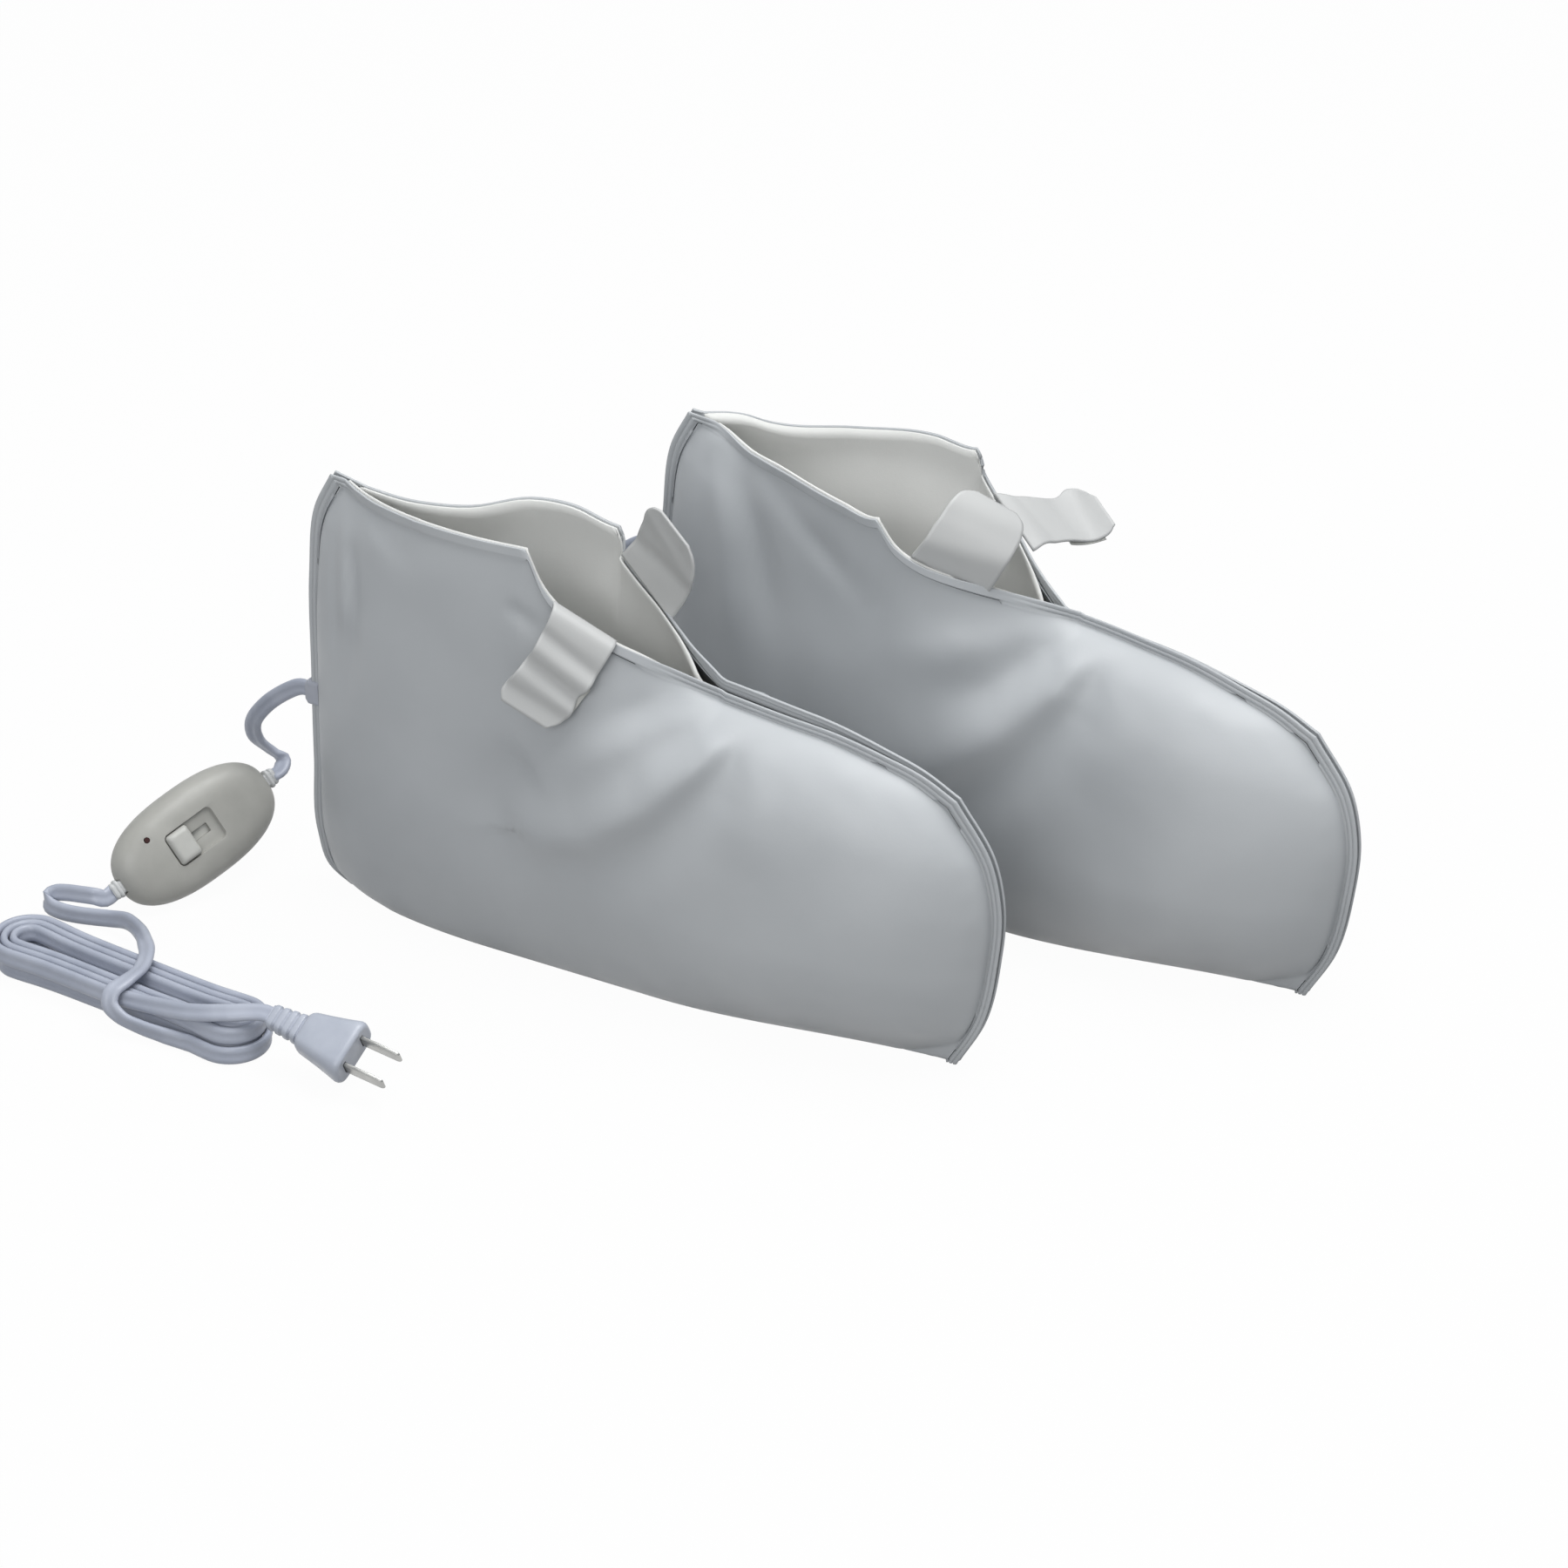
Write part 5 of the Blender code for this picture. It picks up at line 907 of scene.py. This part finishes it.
# Controller: two moulded shells of warm grey plastic that meet at a parting line, screwed from below,
# matt with a fine spark-eroded texture. The cover has a shallow recess for the knob, and a dark lens.
housing = finish_of("controller plastic", (0.375, 0.372, 0.345), (0.43, 0.427, 0.398), (0.36, 0.46), 70.0,
                    1700.0, 0.00007)
knob_plastic = finish_of("knob plastic", (0.52, 0.52, 0.49), (0.58, 0.58, 0.55), (0.34, 0.44), 90.0, 1900.0,
                         0.00005)
half_long, half_wide, shell_wall = 0.039, 0.0205, 0.0018
part_gap, over_cut = 0.00015, 0.001


def oval(share_of, height, wall=0.0):
    """Ring of the controller's outline at a share of its size, less a wall."""
    sides = 96
    turns = np.linspace(0.0, 2 * math.pi, sides, endpoint=False)
    x = np.sign(np.cos(turns)) * np.abs(np.cos(turns)) ** 0.8 * (half_long * share_of - wall)
    y = np.sign(np.sin(turns)) * np.abs(np.sin(turns)) ** 0.8 * (half_wide * share_of - wall)
    return np.stack([x, y, np.full(sides, height)], axis=1)


def rounded(width, height, corner, steps=6):
    """Points round a rectangle with rounded corners."""
    points = []
    for quarter, (across, up) in enumerate(((1, 1), (-1, 1), (-1, -1), (1, -1))):
        for step_at in range(steps):
            angle = math.pi / 2 * (quarter + step_at / (steps - 1))
            points.append((across * (width / 2 - corner) + corner * math.cos(angle),
                           up * (height / 2 - corner) + corner * math.sin(angle)))
    return points


def shape(piece, place, cuts, soften=0.0):
    """Apply cuts, joins and a small bevel to a piece and turn it to its place."""
    tools = []
    for operation, rings in cuts:
        tools.append(put("tool", *capped(rings)))
        made = piece.modifiers.new("cut", "BOOLEAN")
        made.operation = operation
        made.solver = "EXACT"
        made.object = tools[-1]
    if soften:
        bevel = piece.modifiers.new("soft edge", "BEVEL")
        bevel.width = soften
        bevel.segments = 2
        bevel.limit_method = "ANGLE"
        bevel.angle_limit = math.radians(40.0)
    graph = bpy.context.evaluated_depsgraph_get()
    mesh = bpy.data.meshes.new_from_object(piece.evaluated_get(graph))
    piece.modifiers.clear()
    piece.data = mesh
    mesh.shade_smooth()
    mesh.set_sharp_from_angle(angle=math.radians(38.0))
    for tool in tools:
        bpy.data.objects.remove(tool)
    mesh.transform(place)


control_matrix = Matrix.Translation(control_at) @ turn.to_4x4()


def prism(outline_points, low, high, at):
    """Two rings of an outline at two heights."""
    return [[(at[0] + x, at[1] + y, z) for x, y in outline_points] for z in (low, high)]


crown = ((1.0, 0.0), (0.996, 0.11), (0.985, 0.22), (0.967, 0.35), (0.94, 0.48), (0.9, 0.61), (0.84, 0.74),
         (0.77, 0.84), (0.68, 0.92), (0.58, 0.97), (0.47, 1.0))
top = 0.0175
start = split + part_gap
rings = [oval(share_of, start + up * (top - start)) for share_of, up in crown]
cover = put("controller_cover", *capped(rings), housing)
crown_inside = ((1.0, 0.0), (0.982, 0.45), (0.93, 0.78), (0.8, 1.0))
ceiling = top - 0.0038
cavity = [oval(share_of, start - over_cut + up * (ceiling - start + over_cut), shell_wall)
          for share_of, up in crown_inside]
recess_depth, recess_x = 0.002, -0.003
recess = [[(recess_x + x, y, z) for x, y in rounded(wide, high, 0.0024)] for wide, high, z in
          ((0.0234, 0.0144, top - recess_depth), (0.024, 0.015, top - 0.0012), (0.0246, 0.0156, top + 0.002))]
slot_cut = prism(rounded(0.0172, 0.0042, 0.0006), ceiling - over_cut, top + 0.002, (-0.0039, 0.0))
circle = [(math.cos(a), math.sin(a)) for a in np.linspace(0, 2 * math.pi, 24, False)]


def round_bar(radius, low, high, at):
    """Two rings of a round bar at two heights."""
    return prism([(radius * a, radius * b) for a, b in circle], low, high, at)


lens_cut = round_bar(0.0013, ceiling - over_cut, top + 0.002, (-0.021, 0.0105))
notch = [[(x, y, split + z) for y, z in rounded(0.0066, 0.005, 0.0005)] for x in (-0.045, 0.045)]
shape(cover, control_matrix, [("DIFFERENCE", cut) for cut in (cavity, recess, slot_cut, lens_cut, notch)],
      0.00035)
stand_in(cover, "booties", "controller_plastic", "controller_top_cover")

# Bottom shell: deep round edge, flat underside, and two posts that take the screws from below.
keel = ((1.0, 0.0), (0.997, 0.18), (0.99, 0.35), (0.974, 0.56), (0.95, 0.75), (0.912, 0.89), (0.86, 1.0))
start = split - part_gap
rings = [oval(share_of, start - down * start) for share_of, down in keel][::-1]
base = put("controller_base", *capped(rings), housing)
keel_inside = ((1.0, 0.0), (0.97, 0.7), (0.9, 1.0))
cavity = [oval(share_of, start + over_cut - down * (start - 0.0008), shell_wall)
          for share_of, down in keel_inside][::-1]
cuts = [("DIFFERENCE", cavity), ("DIFFERENCE", notch)]
for x in (-0.0295, 0.0295):
    post, head, shank = (round_bar(*bar, (x, 0.0)) for bar in
                         ((0.0042, 0.0009, start), (0.0029, -over_cut, 0.0023), (0.0018, -over_cut, 0.01)))
    cuts += [("UNION", post), ("DIFFERENCE", head), ("DIFFERENCE", shank)]
shape(base, control_matrix, cuts, 0.0003)
stand_in(base, "booties", "controller_plastic", "controller_bottom_shell")

# Slide knob: lighter grey, with a crowned top, on a stem through the slot. Under the cover a shield
# plate moves with it and closes the slot.
floor_at = top - recess_depth + 0.0003
rest_x = -0.00915
wide = 0.0138
rings = []
for long, narrower, height, corner in (
        (0.005, 0.0108, 0.0119, 0.0004), (0.005, 0.0108, floor_at, 0.0004),
        (0.0101, 0.0004, floor_at, 0.0012), (0.0105, 0.0, floor_at + 0.0003, 0.0013),
        (0.0105, 0.0, top - 0.0002, 0.0013), (0.0101, 0.0004, top + 0.0006, 0.0014),
        (0.0092, 0.0013, top + 0.0015, 0.0015), (0.0078, 0.0028, top + 0.0021, 0.0014),
        (0.006, 0.0048, top + 0.0022, 0.0013)):
    rings.append([(rest_x + x, y, height) for x, y in rounded(long, wide - narrower, corner)])
knob = put("knob", *capped(rings), knob_plastic)
shield = prism(rounded(0.0285, 0.006, 0.0006), ceiling - 0.0007, ceiling - 0.0003, (rest_x, 0.0))
shape(knob, control_matrix, [("UNION", shield)])
stand_in(knob, "knob", "knob_plastic", "slide_knob")

# Lens, screws and board: the lens is dark red and clear, the screws are zinc-plated steel, and the board
# is green glass cloth with tinned lands.
lens_red = finish_of("dark lens", (0.035, 0.008, 0.008), (0.055, 0.012, 0.01), (0.08, 0.14), 200.0, 900.0,
                     0.00001, coat=0.6)
refinish(lens_red, "indicator_lens")
zinc = finish_of("zinc plated steel", (0.52, 0.53, 0.54), (0.64, 0.64, 0.64), (0.25, 0.4), 500.0, 3000.0,
                 0.00002, metallic=1.0)
refinish(zinc, "controller_screw_1", "controller_screw_2")
green = finish_of("circuit board", (0.02, 0.13, 0.06), (0.04, 0.19, 0.09), (0.25, 0.4), 300.0, 2200.0,
                  0.00004)
tree = green.node_tree
board_colour = tree.nodes["Principled BSDF"].inputs["Base Color"]
cells = wired(tree, "TexVoronoi", "Distance", (("Scale", 420.0),),
              (("Vector", tree.nodes["Texture Coordinate"].outputs["Object"]),))
lands = wired(tree, "Math", "Value", ((1, 0.16),), ((0, cells),), operation="LESS_THAN")
tinned = wired(tree, "Mix", "Result", (("B", (0.62, 0.62, 0.6, 1.0)),),
               (("Factor", lands), ("A", board_colour.links[0].from_socket)), data_type="RGBA")
tree.links.new(tinned, board_colour)
refinish(green, "circuit_board")

# Strain reliefs and glands: soft vinyl moulded on the flex, the same bluish grey as the cords but
# duller. The reliefs at the controller are short and ribbed; a gland holds the flex where it goes into a
# bootie.
grommet = finish_of("grommet vinyl", (0.38, 0.4, 0.46), (0.46, 0.48, 0.54), (0.4, 0.55), 80.0, 2200.0,
                    0.00006)
pale_grommet = finish_of("pale grommet vinyl", (0.56, 0.57, 0.57), (0.64, 0.65, 0.65), (0.4, 0.52), 80.0,
                         2200.0, 0.00006)


def sleeve(name, sections, place, corner_share, node, finish):
    """Ribbed or stepped sleeve through sections (reach, width, thickness) along X."""
    rings = [[(reach, y, z) for y, z in rounded(wide_at, thick_at, thick_at * corner_share)]
             for reach, wide_at, thick_at in sections]
    piece = put(name, *capped(rings), finish)
    piece.data.set_sharp_from_angle(angle=math.radians(50.0))
    piece.data.transform(place)
    work = bmesh.new()
    work.from_mesh(piece.data)
    bmesh.ops.recalc_face_normals(work, faces=work.faces)
    work.to_mesh(piece.data)
    work.free()
    return stand_in(piece, "booties", "cord_vinyl", node)


def ribs(start_at, length, wide_at, thick_at, count):
    """Sections of a ribbed sleeve that tapers to 0.8 of its size at its end."""
    taper = 0.8
    out_sections = []
    for rib in range(count):
        for share_at, scale in ((0.02, 0.8), (0.1, 0.84), (0.2, 0.97), (0.3, 1.0), (0.7, 1.0), (0.8, 0.97),
                                (0.9, 0.84)):
            along = (rib + share_at) / count
            size = scale * (1 - (1 - taper) * along)
            out_sections.append((start_at + along * length, wide_at * size, thick_at * size))
    last = taper * 0.9
    out_sections.append((start_at + length, wide_at * last, thick_at * last))
    return out_sections


for name, end in (("lead_strain_relief", 1), ("mains_strain_relief", -1)):
    sections = [(0.0342, 0.0083, 0.0058), (0.0354, 0.0085, 0.006), (0.0356, 0.006, 0.0044),
                (0.0392, 0.006, 0.0044)]
    sections += ribs(0.0393, 0.004, 0.0085, 0.0062, 2)
    flipped = Matrix.Diagonal((end, 1.0, 1.0, 1.0))
    sleeve(name + "_vinyl", sections, control_matrix @ Matrix.Translation((0.0, 0.0, split)) @ flipped, 0.33,
           name, pale_grommet)
refinish(grommet, "near_bootie_lead_gland", "near_bootie_link_gland", "far_bootie_link_gland")

# Plug: moulded vinyl body, flared to its front face, with a ribbed relief in one piece, and two flat
# nickelled brass blades with chamfered tips and a hole near each tip.
plug_vinyl = finish_of("plug vinyl", (0.42, 0.45, 0.52), (0.5, 0.53, 0.6), (0.28, 0.4), 70.0, 2200.0,
                       0.00005)
plug_matrix = Matrix.Translation(plug_at) @ plug_turn.to_4x4()
blade_offset = 0.0127 / 2
sections = [(-0.0001, 0.0205, 0.0105), (0.0, 0.0222, 0.0122), (-0.0004, 0.0238, 0.0138),
            (-0.0013, 0.0248, 0.0148), (-0.0026, 0.025, 0.015), (-0.0044, 0.0242, 0.0144),
            (-0.008, 0.0224, 0.0134), (-0.013, 0.0202, 0.0123), (-0.018, 0.0182, 0.0114),
            (-0.0212, 0.017, 0.0109), (-0.0226, 0.0158, 0.01), (-0.0234, 0.014, 0.009)]
sections += [(-reach, *sizes) for reach, *sizes in ribs(0.0238, 0.0152, 0.0124, 0.0082, 4)]
plug = sleeve("plug_vinyl", sections, Matrix.Identity(4), 0.34, "plug_body", plug_vinyl)
shape(plug, plug_matrix,
      [("DIFFERENCE", [[(x, y + side * blade_offset, z) for y, z in rounded(0.0021, 0.007, 0.0003, 3)]
                       for x in (-0.0103, 0.002)]) for side in (-1, 1)])
nickel = finish_of("nickelled brass", (0.42, 0.42, 0.41), (0.52, 0.52, 0.5), (0.34, 0.46), 60.0, 3500.0,
                   0.00002, metallic=1.0)
for number, side in ((1, -1), (2, 1)):
    rings = []
    for reach, taper in ((-0.01, 0.0), (0.0158, 0.0), (0.0167, 0.25), (0.0172, 0.6), (0.0175, 1.0)):
        high, thick_at = 0.0064 - taper * 0.0016, 0.0015 * (1 - taper / 2)
        rings.append([(reach, side * blade_offset + y, z) for y, z in rounded(thick_at, high, 0.00018, 3)])
    blade = put(f"blade_{number}", *capped(rings), nickel)
    hole = [[(0.0135 + 0.0013 * a, side * blade_offset + y, 0.0013 * b) for a, b in circle]
            for y in (-0.002, 0.002)]
    shape(blade, plug_matrix, [("DIFFERENCE", hole)], 0.00008)
    stand_in(blade, "booties", "blade", f"plug_blade_{number}")
